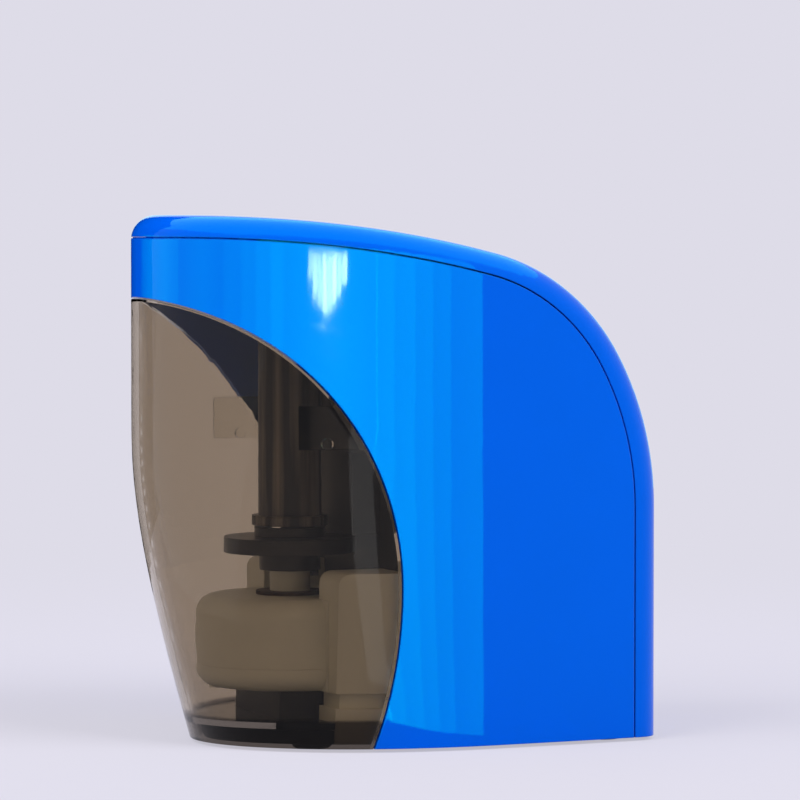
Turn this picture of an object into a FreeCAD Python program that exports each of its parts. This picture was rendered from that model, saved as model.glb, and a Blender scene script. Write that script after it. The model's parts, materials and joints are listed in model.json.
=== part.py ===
import FreeCAD, Part
import math
import os
from FreeCAD import Vector

# Battery pencil sharpener that stands upright. The pencil goes in from above.
# Millimetres. +Z is up, the shavings tray is at the front (-Y), X is the width.
# The origin is at the bottom centre, on the surface that the feet stand on.

# ---- driving dimensions: body ------------------------------------------------
tray_reach = 26.7             # front of the tray to the pencil's axis, along Y
motor_offset = 20.8           # the motor's axis lies this far behind the pencil's
cell_offset = 18.9            # and the batteries this far behind the motor
back_reach = 15.6             # from the axes of the batteries to the back
body_width = 52.0             # widest place of the sides
body_height = 85.8            # feet included
foot_height = 0.6             # the feet lift the casing this far off the table
side_taper = 0.8              # the sides come in this much towards the back
nose_rake = 0.343             # how fast the lower nose falls back
nose_bend = 9.6               # softness of the bend into that slope
nose_break_z = 51.1           # above this height the nose is upright
top_radius = 205.0            # side view: the top falls gently from its front,
top_turn = 14.0               # until it slopes by this many degrees,
shoulder_radius = 35.0        # then bends round the shoulder
shoulder_turn = 60.0          # to this slope,
back_radius = 50.0            # and the back turns upright
edge_round = 4.0              # rounding between the top or back and the sides

# ---- where the three axes stand, along Y -------------------------------------
body_length = tray_reach + motor_offset + cell_offset + back_reach
half_width = body_width / 2
front_y = -body_length / 2
rear_y = body_length / 2
pencil_y = front_y + tray_reach
motor_y = pencil_y + motor_offset
cell_y = motor_y + cell_offset
widest_y = motor_y + 3.9      # the nose narrows in front of this place

# ---- driving dimensions: shells ----------------------------------------------
shell_wall = 2.2
tray_wall = 1.5
seam_depth = 3.6              # the cover's seam runs this far below the top
seam_lean = 1.4               # and this much further from the back
seam_gap = 0.25
tongue_wall = 1.2             # lip of the cover that reaches inside the shell
tongue_reach = 2.4
tongue_gap = 0.2
window_radius = 48.0          # upper arc of the tray's edge, seen from the side
window_low_radius = 78.0      # lower arc of the same edge
window_rear_y = pencil_y + 9.4   # furthest point back of the tray's edge
window_mid_z = 26.0           # height of that point
window_gap = 0.3
clear = 0.3                   # room between pieces that move past each other
seat_gap = 0.1                # room between pieces that are only set side by side

# ---- driving dimensions: base and feet ---------------------------------------
base_bottom_z = 1.2
base_thickness = 2.2
base_fit = 0.15               # room between the base plate and the shell
foot_radius = 3.2
foot_sink = 0.8
front_foot_x = 11.5
front_foot_y = pencil_y - 0.8
rear_foot_x = half_width - 6.4
rear_foot_y = cell_y + 7.6
tray_floor = 1.0
latch_inner_x = 19.2          # arms of the tray that reach back into the shell
latch_outer_x = 20.0
latch_front_y = pencil_y - 6.3
latch_rear_y = pencil_y + 10.2
latch_bottom_z = 48.5
latch_top_z = 55.5
latch_nib_y = pencil_y - 1.3
latch_nib_radius = 0.9
latch_nib = 0.6

# ---- driving dimensions: drive line ------------------------------------------
pencil_bore = 4.25            # radius of the way in, for pencils up to 8 mm
gear_module = 0.5
pinion_teeth = 10
big_teeth = 32
small_teeth = 12
output_teeth = 30
backlash = 0.16
float_travel = 1.2            # the cutter sinks this far when the pencil is pushed

# ---- driving dimensions: gearbox ---------------------------------------------
pot_radius = 15.5
pot_bottom_z = 9.3
pot_top_z = 24.0
pot_wall = 1.6
pot_split_z = 13.0            # joint between the housing and its lid
pot_round = 3.0
gearbox_rear_y = motor_y + 5.4
wing_inner_x = 12.0
wing_step_x = 17.0            # outside this place the wing stands beside the base plate
wing_front_y = pencil_y + 0.2
wing_rear_y = pencil_y + 11.1
wing_top_z = 28.6
wing_round = 2.0
wing_groove_z = 6.9
wing_groove_height = 2.4
wing_groove_depth = 0.8
stage_gap = 0.6               # room between the two levels of gears
big_face = 2.4
output_face = 4.0
axle_radius = 1.0
boss_wall = 1.2
bush_wall = 1.0
small_boss_radius = 1.9       # pillars that take the small screws
wing_screw_x = 14.6
wing_screw_y = pencil_y + 5.7
fit_run = 0.05                # radial room of a shaft that turns in its hole
fit_slide = 0.03              # radial room of a pin that slides in its hole

# ---- driving dimensions: cutter ----------------------------------------------
disc_radius = 10.8
disc_top_z = 33.4
disc_thickness = 2.5
collar_radius = 5.0
collar_bottom_z = 28.0
rim_radius = 5.8
rim_top_z = 35.0
neck_radius = 3.3
cone_angle = 13.5             # half angle of the pencil's point
cone_tip_radius = 0.3
spindle_radius = 1.5
spindle_socket = 1.7          # how far the spindle enters the neck
blade_width = 6.0
blade_thickness = 0.6
blade_top_z = 33.4
blade_bottom_z = 26.6
blade_screw_offset = 4.4
blade_screw_z = 32.0

# ---- driving dimensions: pencil guide ----------------------------------------
tube_bore = 4.35
tube_wall = 0.8
tube_foot_radius = 6.2
tube_foot_height = 1.6
tube_web = 1.6
tube_web_bottom_z = 50.0
tube_web_top_z = body_height - 15.8
entry_flange_radius = 7.5
entry_flange = 1.0
entry_sleeve_wall = 1.1
entry_sleeve_bottom_z = body_height - 5.5
entry_chamfer = 0.9
entry_collar_wall = 1.6
entry_collar_bottom_z = body_height - 10.0
tube_gap = 2.0                # the guide tube ends this far below the bush

# ---- driving dimensions: push switch under the cutter ------------------------
pedestal_half_width = 10.0
pedestal_front_y = pencil_y - 5.8
pedestal_rear_y = pencil_y + 6.5
pedestal_wall = 1.2
pin_radius = 1.5
pin_flange_radius = 4.0
pin_flange = 0.8
pin_flange_z = 6.7
pin_tail = 1.6
spring_wire = 0.35
spring_radius = 2.1
spring_turns = 3
leaf_thickness = 0.25
leaf_width = 3.0
leaf_tip_x = 2.9
leaf_root_x = 8.2
contact_y = pencil_y + 4.4    # where the fixed contact comes out at the side
contact_width = 1.4
contact_top_z = 8.2
contact_gap = 1.6             # open gap below the moving leaf
contact_turn_x = 8.0
wire_door_x0 = -7.0
wire_door_x1 = 8.6
wire_door_z = 7.8

# ---- driving dimensions: motor -----------------------------------------------
motor_half_width = 10.05
motor_half_depth = 7.55
motor_can_length = 20.0
motor_cap_length = 4.6
motor_boss_radius = 3.05
motor_boss = 1.5
motor_shaft_radius = 1.0
motor_cap_trim = 0.4
motor_cap_boss = 1.0
pinion_overlap = 0.3          # the pinion is this much longer than its gear, each way
motor_screw_spacing = 16.0
terminal_width = 2.4
terminal_thickness = 0.4
terminal_length = 3.6
terminal_spacing = 11.0
terminal_set_back = 3.6       # behind the motor's axis

# ---- driving dimensions: chassis ---------------------------------------------
chassis_wall = 1.4
chassis_half_width = 18.8
chassis_front_y = pencil_y + 6.7   # front of the hump and of the upper block
chassis_rear_y = motor_y + 7.9
shelf_z = 47.4
chassis_top_z = body_height - 11.8
chassis_foot_width = 7.0
chassis_foot_length = 9.5
chassis_foot = 1.6
shelf_notch_y = motor_y + 3.4
hump_half_width = 10.2
hump_bottom_z = 34.0
hump_round = 3.0

# ---- driving dimensions: batteries -------------------------------------------
cell_radius = 7.25
cell_length = 49.3            # without the positive cap
cell_cap_radius = 2.75
cell_cap = 1.2
cell_gap = 0.25
cage_wall = 1.2
contact_plate = 0.3
contact_pad = 3.5             # half width of a battery contact
cell_spring_height = 2.2
cell_spring_wire = 0.6
cell_spring_base = 3.4
cell_spring_top = 2.2
cell_spring_turns = 2
cage_window_half = 12.0
cage_window_bottom_z = 12.0
cage_window_top_z = 48.0
cage_lug_out = 2.2            # the lugs stand this far out of the cage's sides
cage_lug_y = cell_y - 6.0
cage_lug_radius = 2.2
cage_lug = 1.6
outlet_height = 3.0
door_thickness = 1.4
door_barrel_radius = 0.9
door_pin_radius = 0.6
door_pin_length = 1.2
door_gap = 0.3
door_grip_half = 4.0
door_grip = 0.5

# ---- driving dimensions: fasteners and wires ---------------------------------
screw_radius = 1.1
screw_head_radius = 2.1
screw_head = 1.2
screw_length = 8.0
small_screw_radius = 0.8
small_screw_head_radius = 1.5
small_screw_head = 0.8
small_screw_length = 4.5
shell_boss_radius = 2.8
shell_boss_height = 12.0
shell_boss_x = half_width - 5.2
shell_boss_front_y = motor_y - 2.1
shell_boss_rear_y = cell_y
cover_boss_radius = 2.1
cover_boss_x = 12.0
wire_radius = 0.55

# ---- places worked out from the dimensions -----------------------------------
nose_length = widest_y - front_y
rear_half_width = half_width - side_taper
base_top_z = base_bottom_z + base_thickness
base_inset = shell_wall + base_fit
tray_floor_z = base_top_z + clear
far_away = body_length + body_width + body_height

first_centres = gear_module * (pinion_teeth + big_teeth) / 2
second_centres = gear_module * (small_teeth + output_teeth) / 2
along = (motor_offset ** 2 + second_centres ** 2 - first_centres ** 2) / (2 * motor_offset)
compound_x = -math.sqrt(second_centres ** 2 - along ** 2)
compound_y = pencil_y + along
compound_tip_reach = abs(compound_x) + gear_module * (big_teeth / 2 + 1)
gearbox_half_width = compound_tip_reach + 2 * clear + 2 * small_boss_radius + pot_wall

gear_floor_z = pot_bottom_z + pot_wall
big_gear_z = gear_floor_z + 1.1
output_gear_z = big_gear_z + big_face + stage_gap + float_travel
small_gear_top_z = output_gear_z + output_face + stage_gap
neck_bottom_z = output_gear_z
spindle_top_z = neck_bottom_z + spindle_socket
bush_radius = neck_radius + fit_run + bush_wall
tube_bottom_z = rim_top_z + clear
tube_top_z = entry_sleeve_bottom_z - tube_gap
tube_radius = tube_bore + tube_wall
entry_sleeve_radius = pencil_bore + entry_sleeve_wall
pin_top_z = pot_bottom_z + clear
spindle_bottom_z = pin_top_z + clear
motor_bottom_z = pot_top_z + seat_gap
chassis_wall_y = motor_y - motor_half_depth - clear - chassis_wall
motor_can_top_z = motor_bottom_z + motor_can_length
motor_top_z = motor_can_top_z + motor_cap_length
motor_shaft_top_z = motor_top_z - motor_cap_length / 2
pinion_bottom_z = big_gear_z - pinion_overlap
pinion_top_z = big_gear_z + big_face + pinion_overlap
terminal_y = motor_y + terminal_set_back
chassis_foot_top_z = pot_top_z + seat_gap + chassis_foot
leaf_bottom_z = pin_flange_z - seat_gap - leaf_thickness
contact_plate_z = leaf_bottom_z - contact_gap
cell_x = cell_radius + cell_gap
cage_half_width = cell_x + cell_radius + cell_gap + cage_wall
cage_lug_x = cage_half_width + cage_lug_out
cage_front_y = cell_y - cell_radius - cell_gap - cage_wall
cage_rear_y = cell_y + cell_radius + cell_gap + cage_wall
door_top_z = base_bottom_z + door_thickness
cell_floor_z = door_top_z + contact_plate + seat_gap
cell_ceiling_z = cell_floor_z + cell_spring_height + cell_length + cell_cap
cage_top_z = cell_ceiling_z + seat_gap + contact_plate + cage_wall
door_front_y = cage_front_y + cage_wall
door_rear_y = cage_rear_y
door_half_width = cage_half_width - cage_wall
hinge_y = door_rear_y - door_gap - door_barrel_radius
hinge_z = base_bottom_z + door_barrel_radius
cover_boss_y = rear_y - shell_wall - cover_boss_radius
wire_gap_y = (chassis_rear_y + cage_front_y) / 2


# ---- small helpers -----------------------------------------------------------
def box(x0, x1, y0, y1, z0, z1):
    return Part.makeBox(x1 - x0, y1 - y0, z1 - z0, Vector(x0, y0, z0))


def block(half_x, y0, y1, z0, z1):
    return box(-half_x, half_x, y0, y1, z0, z1)


def post(x, y, z0, z1, radius):
    return Part.makeCylinder(radius, z1 - z0, Vector(x, y, z0))


def sleeve(x, y, z0, z1, radius, bore):
    return post(x, y, z0, z1, radius).cut(post(x, y, z0, z1, bore))


def mirrored(shape):
    return shape.mirror(Vector(0, 0, 0), Vector(1, 0, 0))


def both_sides(shape):
    return [shape, mirrored(shape)]


def fuse_all(first, others):
    return first.fuse(others).removeSplitter()


def save(name, shape):
    shape.exportStep("parts/" + name + ".step")


# ---- the outer form that shells, cover and tray share ------------------------
def nose_length_at(z):
    below = max(nose_break_z - z, 0.0)
    return nose_length - (math.hypot(nose_rake * below, nose_bend) - nose_bend)


def quarter_ellipse(side, tip, z):
    corner = Vector(side.x, tip.y, z)
    curve = Part.BezierCurve()
    curve.increase(2)
    for number, pole in enumerate([side, corner, tip], 1):
        curve.setPole(number, pole)
    curve.setWeight(2, math.sqrt(0.5))
    return curve.toShape()


def plan_wire(z, inset):
    """Plan of the body at one height: elliptic nose, sides and a straight back."""
    tip = Vector(0, widest_y - nose_length_at(z) + inset, z)
    right = Vector(half_width - inset, widest_y, z)
    left = Vector(-right.x, right.y, z)
    back_y = rear_y + edge_round - inset
    back_right = Vector(rear_half_width - inset, back_y, z)
    back_left = Vector(-back_right.x, back_y, z)
    run = back_y - widest_y
    fall = half_width - rear_half_width
    swing = 0.25 * fall
    mid_y = widest_y + run / 2
    edges = [
        quarter_ellipse(left, tip, z),
        quarter_ellipse(right, tip, z),
        Part.Arc(right, Vector(right.x - swing, mid_y, z), back_right).toShape(),
        Part.makeLine(back_right, back_left),
        Part.Arc(left, Vector(left.x + swing, mid_y, z), back_left).toShape(),
    ]
    return Part.Wire(Part.sortEdges(edges)[0])


def plan_solid(z0, z1, inset):
    """Slice of the upright form; every inset is lofted through the same heights."""
    low_z, high_z, levels = -edge_round, body_height + edge_round, 14
    heights = [low_z + (high_z - low_z) * number / (levels - 1) for number in range(levels)]
    form = Part.makeLoft([plan_wire(z, inset) for z in heights], True, False)
    if z0 > low_z or z1 < high_z:
        form = form.common(block(far_away, -far_away, far_away, z0, z1))
    return form


def turning_arc(start, slope, turn, radius):
    """An arc of the top outline, running back and down, between two slopes in radians."""
    centre = start - Vector(0, math.sin(slope), math.cos(slope)) * radius
    middle = centre + Vector(0, math.sin((slope + turn) / 2), math.cos((slope + turn) / 2)) * radius
    end = centre + Vector(0, math.sin(turn), math.cos(turn)) * radius
    return Part.Arc(start, middle, end).toShape(), end


def profile_prism(inset):
    """Everything under the top and in front of the back, drawn from the side."""
    slopes = [0.0, math.radians(top_turn), math.radians(shoulder_turn), math.pi / 2]
    radii = [top_radius, shoulder_radius, back_radius]
    run = sum(r * (math.sin(b) - math.sin(a)) for r, a, b in zip(radii, slopes, slopes[1:]))
    point = Vector(0, rear_y - run, body_height - inset)
    top_front = Vector(0, front_y - far_away, point.z)
    edges = [Part.makeLine(top_front, point)]
    for radius, slope, turn in zip(radii, slopes, slopes[1:]):
        arc, point = turning_arc(point, slope, turn, radius - inset)
        edges.append(arc)
    low_rear = Vector(0, point.y, -far_away)
    low_front = Vector(0, top_front.y, -far_away)
    edges += [
        Part.makeLine(point, low_rear),
        Part.makeLine(low_rear, low_front),
        Part.makeLine(low_front, top_front),
    ]
    face = Part.Face(Part.Wire(edges))
    face.translate(Vector(-far_away, 0, 0))
    return face.extrude(Vector(2 * far_away, 0, 0))


def seam_prism(depth):
    """Everything under the cover's seam, which keeps further from the back than from the top."""
    form = profile_prism(depth)
    form.translate(Vector(0, -seam_lean, 0))
    return form


def body_form(inset, z0=-far_away):
    return plan_solid(z0, far_away, inset).common(profile_prism(inset)).Solids[0]


def is_profile_face(face):
    u0, u1, v0, v1 = face.ParameterRange
    normal = face.normalAt((u0 + u1) / 2, (v0 + v1) / 2)
    return abs(normal.x) < 1e-6


def rounded_body():
    solid = body_form(0.0, foot_height)
    profile_edges = []
    for face in solid.Faces:
        if is_profile_face(face) and face.BoundBox.ZMax > foot_height + 1:
            profile_edges += face.Edges
    side_edges = []
    for face in solid.Faces:
        if not is_profile_face(face):
            side_edges += face.Edges
    chosen = [e for e in profile_edges if any(e.isSame(other) for other in side_edges)]
    return solid.makeFillet(edge_round, chosen)


def window_prism(grow):
    """The tray's place, drawn from the side: two arcs bulging to the back."""
    upper_centre_y = window_rear_y - window_radius
    lower_centre_y = window_rear_y - window_low_radius
    upper = window_radius + grow
    lower = window_low_radius + grow
    low_z = -edge_round
    drop = window_mid_z - low_z
    half = math.sqrt(0.5)
    rear = Vector(0, window_rear_y + grow, window_mid_z)
    top = Vector(0, upper_centre_y, window_mid_z + upper)
    on_upper = Vector(0, upper_centre_y + upper * half, window_mid_z + upper * half)
    low = Vector(0, lower_centre_y + math.sqrt(lower ** 2 - drop ** 2), low_z)
    on_lower = Vector(0, lower_centre_y + math.sqrt(lower ** 2 - (drop / 2) ** 2), window_mid_z - drop / 2)
    front = Vector(0, top.y, low_z)
    outline = Part.Wire([
        Part.Arc(top, on_upper, rear).toShape(),
        Part.Arc(rear, on_lower, low).toShape(),
        Part.makeLine(low, front),
        Part.makeLine(front, top),
    ])
    face = Part.Face(outline)
    face.translate(Vector(-far_away, 0, 0))
    return face.extrude(Vector(2 * far_away, 0, 0))


outer_body = rounded_body()


# ---- casing ------------------------------------------------------------------
def hollow_body(wall):
    return outer_body.cut(body_form(wall))


def shell_boss_places():
    return [(shell_boss_x, shell_boss_front_y), (shell_boss_x, shell_boss_rear_y)]


def main_shell():
    shell = hollow_body(shell_wall).common(seam_prism(seam_depth + seam_gap / 2))
    shell = shell.cut(window_prism(window_gap / 2))
    wall_middle_x = half_width - shell_wall / 2
    bosses = []
    for x, y in shell_boss_places():
        top_z = base_top_z + shell_boss_height
        boss = post(x, y, base_top_z, top_z, shell_boss_radius)
        rib = box(x, wall_middle_x, y - shell_wall / 2, y + shell_wall / 2, base_top_z, top_z)
        hole = post(x, y, base_top_z, top_z - shell_wall, screw_radius + fit_run)
        bosses += both_sides(boss.fuse(rib).cut(hole))
    return fuse_all(shell, bosses)


def cover_tongue():
    """Lip of the cover that reaches down inside the shell along the seam."""
    outer = shell_wall + tongue_gap
    inner = outer + tongue_wall
    bite = tongue_wall / 4
    seam = seam_depth - seam_gap / 2
    low_z = base_top_z + tongue_reach
    core = plan_solid(low_z, far_away, inner)
    root = plan_solid(low_z, far_away, shell_wall - bite).cut(core)
    root = root.common(profile_prism(shell_wall - bite)).cut(seam_prism(seam))
    lip = plan_solid(low_z, far_away, outer).cut(core)
    lip = lip.common(seam_prism(seam - bite)).cut(seam_prism(seam_depth + tongue_reach))
    return root.fuse(lip)


def top_rear_cover():
    cover = hollow_body(shell_wall).cut(seam_prism(seam_depth - seam_gap / 2))
    collar = sleeve(0, pencil_y, entry_collar_bottom_z, body_height,
                    entry_sleeve_radius + entry_collar_wall, entry_sleeve_radius)
    collar = collar.common(profile_prism(shell_wall / 2))
    bosses = []
    for boss_x in (-cover_boss_x, cover_boss_x):
        top_z = base_top_z + shell_boss_height
        boss = post(boss_x, cover_boss_y, base_top_z, top_z, cover_boss_radius)
        rib = box(boss_x - shell_wall / 2, boss_x + shell_wall / 2,
                  cover_boss_y, rear_y - shell_wall / 2, base_top_z, top_z)
        hole = post(boss_x, cover_boss_y, base_top_z, top_z - shell_wall, screw_radius + fit_run)
        bosses.append(boss.fuse(rib).cut(hole))
    cover = cover.fuse([cover_tongue(), collar] + bosses)
    pocket = post(0, pencil_y, entry_collar_bottom_z, body_height, entry_flange_radius + seat_gap)
    pocket = pocket.cut(profile_prism(entry_flange))
    hole = post(0, pencil_y, entry_collar_bottom_z, body_height, entry_sleeve_radius + fit_run)
    return cover.cut([pocket, hole]).removeSplitter()


def pencil_entry_ring():
    """Bush in the top: its flange follows the curve of the cover."""
    flange = post(0, pencil_y, entry_sleeve_bottom_z, body_height, entry_flange_radius)
    flange = flange.common(profile_prism(0.0)).cut(profile_prism(entry_flange))
    stem = post(0, pencil_y, entry_sleeve_bottom_z, body_height, entry_sleeve_radius)
    stem = stem.common(profile_prism(entry_flange / 2))
    bore = post(0, pencil_y, entry_sleeve_bottom_z, body_height, pencil_bore)
    mouth_z = flange.BoundBox.ZMax
    mouth = Part.makeCone(pencil_bore, pencil_bore + 2 * entry_chamfer, 2 * entry_chamfer,
                          Vector(0, pencil_y, mouth_z - 2 * entry_chamfer))
    return flange.fuse(stem).cut([bore, mouth]).removeSplitter()


def foot_places():
    return [(x, y) for x, y in ((front_foot_x, front_foot_y), (rear_foot_x, rear_foot_y))]


def rubber_feet():
    feet = []
    for x, y in foot_places():
        feet += both_sides(post(x, y, 0, base_bottom_z + foot_sink, foot_radius))
    return Part.makeCompound(feet)


def frame_screw_places():
    """Small screws from below: into the gearbox wings and the battery cage."""
    return [(wing_screw_x, wing_screw_y), (cage_lug_x, cage_lug_y)]


def counterbored(x, y, radius, head_radius, head):
    hole = post(x, y, base_bottom_z, base_top_z, radius + seat_gap)
    seat = post(x, y, base_bottom_z, base_bottom_z + head, head_radius + seat_gap)
    return both_sides(hole.fuse(seat))


def base_plate():
    plate = plan_solid(base_bottom_z, base_top_z, base_inset).common(profile_prism(base_inset))
    cuts = [block(door_half_width, door_front_y, door_rear_y, base_bottom_z, base_top_z)]
    for x, y in foot_places():
        cuts += both_sides(post(x, y, base_bottom_z, base_bottom_z + foot_sink, foot_radius + seat_gap))
    for x, y in shell_boss_places() + [(cover_boss_x, cover_boss_y)]:
        cuts += counterbored(x, y, screw_radius, screw_head_radius, screw_head)
    for x, y in frame_screw_places():
        cuts += counterbored(x, y, small_screw_radius, small_screw_head_radius, small_screw_head)
    cuts += both_sides(box(wing_step_x - seat_gap, far_away, wing_front_y - seat_gap,
                           wing_rear_y + seat_gap, base_bottom_z, base_top_z))
    pin_reach = door_half_width - door_gap + door_pin_length + seat_gap
    cuts.append(Part.makeCylinder(door_pin_radius + fit_run, 2 * pin_reach,
                                  Vector(-pin_reach, hinge_y, hinge_z), Vector(1, 0, 0)))
    grip = block(door_grip_half, door_front_y - door_grip_half, door_front_y,
                 base_bottom_z, base_bottom_z + door_grip)
    cuts.append(grip)
    return plate.cut(cuts).removeSplitter()


def screw(x, y, head_z, length, radius, head_radius, head):
    """Pan-head screw driven upwards, with a cross recess below."""
    body = post(x, y, head_z + head, head_z + head + length, radius)
    body = body.fuse(post(x, y, head_z, head_z + head, head_radius)).removeSplitter()
    arm, half = head_radius * 0.6, head_radius * 0.16
    depth = head * 0.6
    cross = box(x - arm, x + arm, y - half, y + half, head_z, head_z + depth)
    cross = cross.fuse(box(x - half, x + half, y - arm, y + arm, head_z, head_z + depth))
    return body.cut(cross)


def casing_screws():
    screws = []
    for x, y in shell_boss_places() + [(cover_boss_x, cover_boss_y)]:
        screws += both_sides(screw(x, y, base_bottom_z, screw_length,
                                   screw_radius, screw_head_radius, screw_head))
    return Part.makeCompound(screws)


def small_screw(x, y, head_z, length):
    return screw(x, y, head_z, length, small_screw_radius, small_screw_head_radius, small_screw_head)


def frame_screws():
    screws = []
    for x, y in frame_screw_places():
        length = small_screw_length if x == wing_screw_x else base_top_z + cage_lug - base_bottom_z
        screws += both_sides(small_screw(x, y, base_bottom_z, length))
    return Part.makeCompound(screws)


# ---- shavings tray -----------------------------------------------------------
def tray_latches():
    arm = box(latch_inner_x, latch_outer_x, latch_front_y, latch_rear_y, latch_bottom_z, latch_top_z)
    pad = box(latch_inner_x, half_width, latch_front_y, latch_rear_y, latch_bottom_z, latch_top_z)
    pad = pad.common(window_prism(-window_gap / 2))
    nib = Part.makeCylinder(latch_nib_radius, latch_nib + latch_outer_x - latch_inner_x,
                            Vector(latch_inner_x - latch_nib, latch_nib_y, latch_bottom_z + latch_nib_radius),
                            Vector(1, 0, 0))
    latch = arm.fuse([pad, nib]).common(body_form(tray_wall / 2))
    return both_sides(latch)


def shavings_tray():
    window = window_prism(-window_gap / 2)
    walls = hollow_body(tray_wall).common(window)
    floor = plan_solid(tray_floor_z, tray_floor_z + tray_floor, tray_wall / 2)
    floor = floor.common(block(far_away, -far_away, wing_front_y - clear, -far_away, far_away))
    slot_half = pedestal_half_width + seat_gap + leaf_thickness + clear
    slot = block(slot_half, pedestal_front_y - clear, far_away, -far_away, pot_bottom_z)
    return fuse_all(walls, [floor.cut(slot)] + tray_latches())


# ---- pencil guide ------------------------------------------------------------
def pencil_guide_tube():
    tube = post(0, pencil_y, tube_bottom_z, tube_top_z, tube_radius)
    foot = post(0, pencil_y, tube_bottom_z, tube_bottom_z + tube_foot_height, tube_foot_radius)
    web = block(tube_web / 2, pencil_y, chassis_front_y + chassis_wall / 2,
                tube_web_bottom_z, tube_web_top_z)
    bore = post(0, pencil_y, tube_bottom_z, tube_top_z, tube_bore)
    return tube.fuse([foot, web]).cut(bore).removeSplitter()


# ---- cutter ------------------------------------------------------------------
def point_cone():
    """The sharpened end of a pencil, as the cutter's hollow."""
    tip_z = rim_top_z - (pencil_bore - cone_tip_radius) / math.tan(math.radians(cone_angle))
    return Part.makeCone(cone_tip_radius, pencil_bore, rim_top_z - tip_z, Vector(0, pencil_y, tip_z))


def on_blade_plane(shape):
    """Tilt a shape from upright onto the side of the cone; its origin goes to the rim."""
    placement = FreeCAD.Placement(Vector(-pencil_bore, pencil_y, rim_top_z),
                                  FreeCAD.Rotation(Vector(0, 1, 0), -cone_angle))
    shape.transformShape(placement.toMatrix())
    return shape


def along_blade(z):
    return (z - rim_top_z) / math.cos(math.radians(cone_angle))


def blade_slot():
    """The open side of the cutter, where the blade lies and the shavings leave."""
    bottom = along_blade(blade_bottom_z) - seat_gap
    seat = box(-disc_radius, 0, 0, blade_width + clear, bottom, blade_thickness)
    throat = box(-disc_radius, blade_thickness / 2, -blade_width / 3, 0, bottom, blade_thickness)
    return on_blade_plane(seat.fuse(throat))


def blade_screw_hole(radius):
    hole = Part.makeCylinder(radius, neck_radius, Vector(-blade_thickness, blade_screw_offset,
                             along_blade(blade_screw_z)), Vector(1, 0, 0))
    return on_blade_plane(hole)


def cutter_head():
    disc = post(0, pencil_y, disc_top_z - disc_thickness, disc_top_z, disc_radius)
    collar = post(0, pencil_y, collar_bottom_z, disc_top_z, collar_radius)
    rim = post(0, pencil_y, disc_top_z, rim_top_z, rim_radius)
    head = disc.fuse([collar, rim]).cut([point_cone(), blade_slot(), blade_screw_hole(small_screw_radius)])
    return head.removeSplitter()


def cutter_neck():
    neck = post(0, pencil_y, neck_bottom_z, collar_bottom_z, neck_radius)
    socket = post(0, pencil_y, neck_bottom_z, spindle_top_z, spindle_radius)
    return neck.cut([point_cone(), blade_slot(), socket])


def cutter_blade():
    blade = box(-blade_thickness, 0, 0, blade_width, along_blade(blade_bottom_z), along_blade(blade_top_z))
    return on_blade_plane(blade).cut(blade_screw_hole(small_screw_radius))


def blade_screw():
    shank = Part.makeCylinder(small_screw_radius, neck_radius, Vector(-blade_thickness, 0, 0),
                              Vector(1, 0, 0))
    head = Part.makeCylinder(small_screw_head_radius, small_screw_head,
                             Vector(-blade_thickness - small_screw_head, 0, 0), Vector(1, 0, 0))
    slot = box(-blade_thickness - small_screw_head, -blade_thickness - small_screw_head / 2,
               -small_screw_head_radius, small_screw_head_radius, -small_screw_head / 4, small_screw_head / 4)
    body = shank.fuse(head).cut(slot)
    body.translate(Vector(0, blade_screw_offset, along_blade(blade_screw_z)))
    return on_blade_plane(body)


def cutter_spindle():
    return post(0, pencil_y, spindle_bottom_z, spindle_top_z, spindle_radius)


# ---- gears -------------------------------------------------------------------
def gear(x, y, z0, z1, teeth, phase):
    """Spur gear with one tooth centred on the phase angle, in degrees."""
    pitch = gear_module * teeth / 2
    slope = math.tan(math.radians(20))
    thick = gear_module * math.pi / 4 - backlash / 2
    root = pitch - 1.25 * gear_module
    tip = pitch + gear_module
    tip_half = (thick - gear_module * slope) / tip
    pitch_half = thick / pitch
    root_half = min((thick + 1.25 * gear_module * slope) / root, 0.92 * math.pi / teeth)
    points = []
    for number in range(teeth):
        centre = math.radians(phase) + 2 * math.pi * number / teeth
        flank = [(-root_half, root), (-pitch_half, pitch), (-tip_half, tip),
                 (tip_half, tip), (pitch_half, pitch), (root_half, root)]
        for turn, radius in flank:
            angle = centre + turn
            points.append(Vector(x + radius * math.cos(angle), y + radius * math.sin(angle), z0))
    outline = Part.makePolygon(points + points[:1])
    return Part.Face(outline).extrude(Vector(0, 0, z1 - z0))


def heading(x0, y0, x1, y1):
    return math.degrees(math.atan2(y1 - y0, x1 - x0))


def facing_phase(direction, teeth):
    """Phase that puts a gap, not a tooth, opposite the given direction."""
    return direction + 180 + 180 / teeth


def output_gear():
    phase = heading(0, pencil_y, compound_x, compound_y)
    rim = gear(0, pencil_y, output_gear_z, output_gear_z + output_face, output_teeth, phase)
    hub = post(0, pencil_y, output_gear_z, small_gear_top_z, neck_radius + boss_wall)
    return rim.fuse(hub).cut(post(0, pencil_y, output_gear_z, small_gear_top_z, neck_radius))


def compound_gear():
    big_phase = heading(compound_x, compound_y, 0, motor_y)
    small_phase = facing_phase(heading(0, pencil_y, compound_x, compound_y), small_teeth)
    top_of_big = big_gear_z + big_face
    big = gear(compound_x, compound_y, big_gear_z, top_of_big, big_teeth, big_phase)
    small = gear(compound_x, compound_y, top_of_big, small_gear_top_z, small_teeth, small_phase)
    bore = post(compound_x, compound_y, big_gear_z, small_gear_top_z, axle_radius + fit_run)
    return big.fuse(small).cut(bore)


def motor_pinion():
    phase = facing_phase(heading(compound_x, compound_y, 0, motor_y), pinion_teeth)
    rim = gear(0, motor_y, pinion_bottom_z, pinion_top_z, pinion_teeth, phase)
    return rim.cut(post(0, motor_y, pinion_bottom_z, pinion_top_z, motor_shaft_radius))


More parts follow.
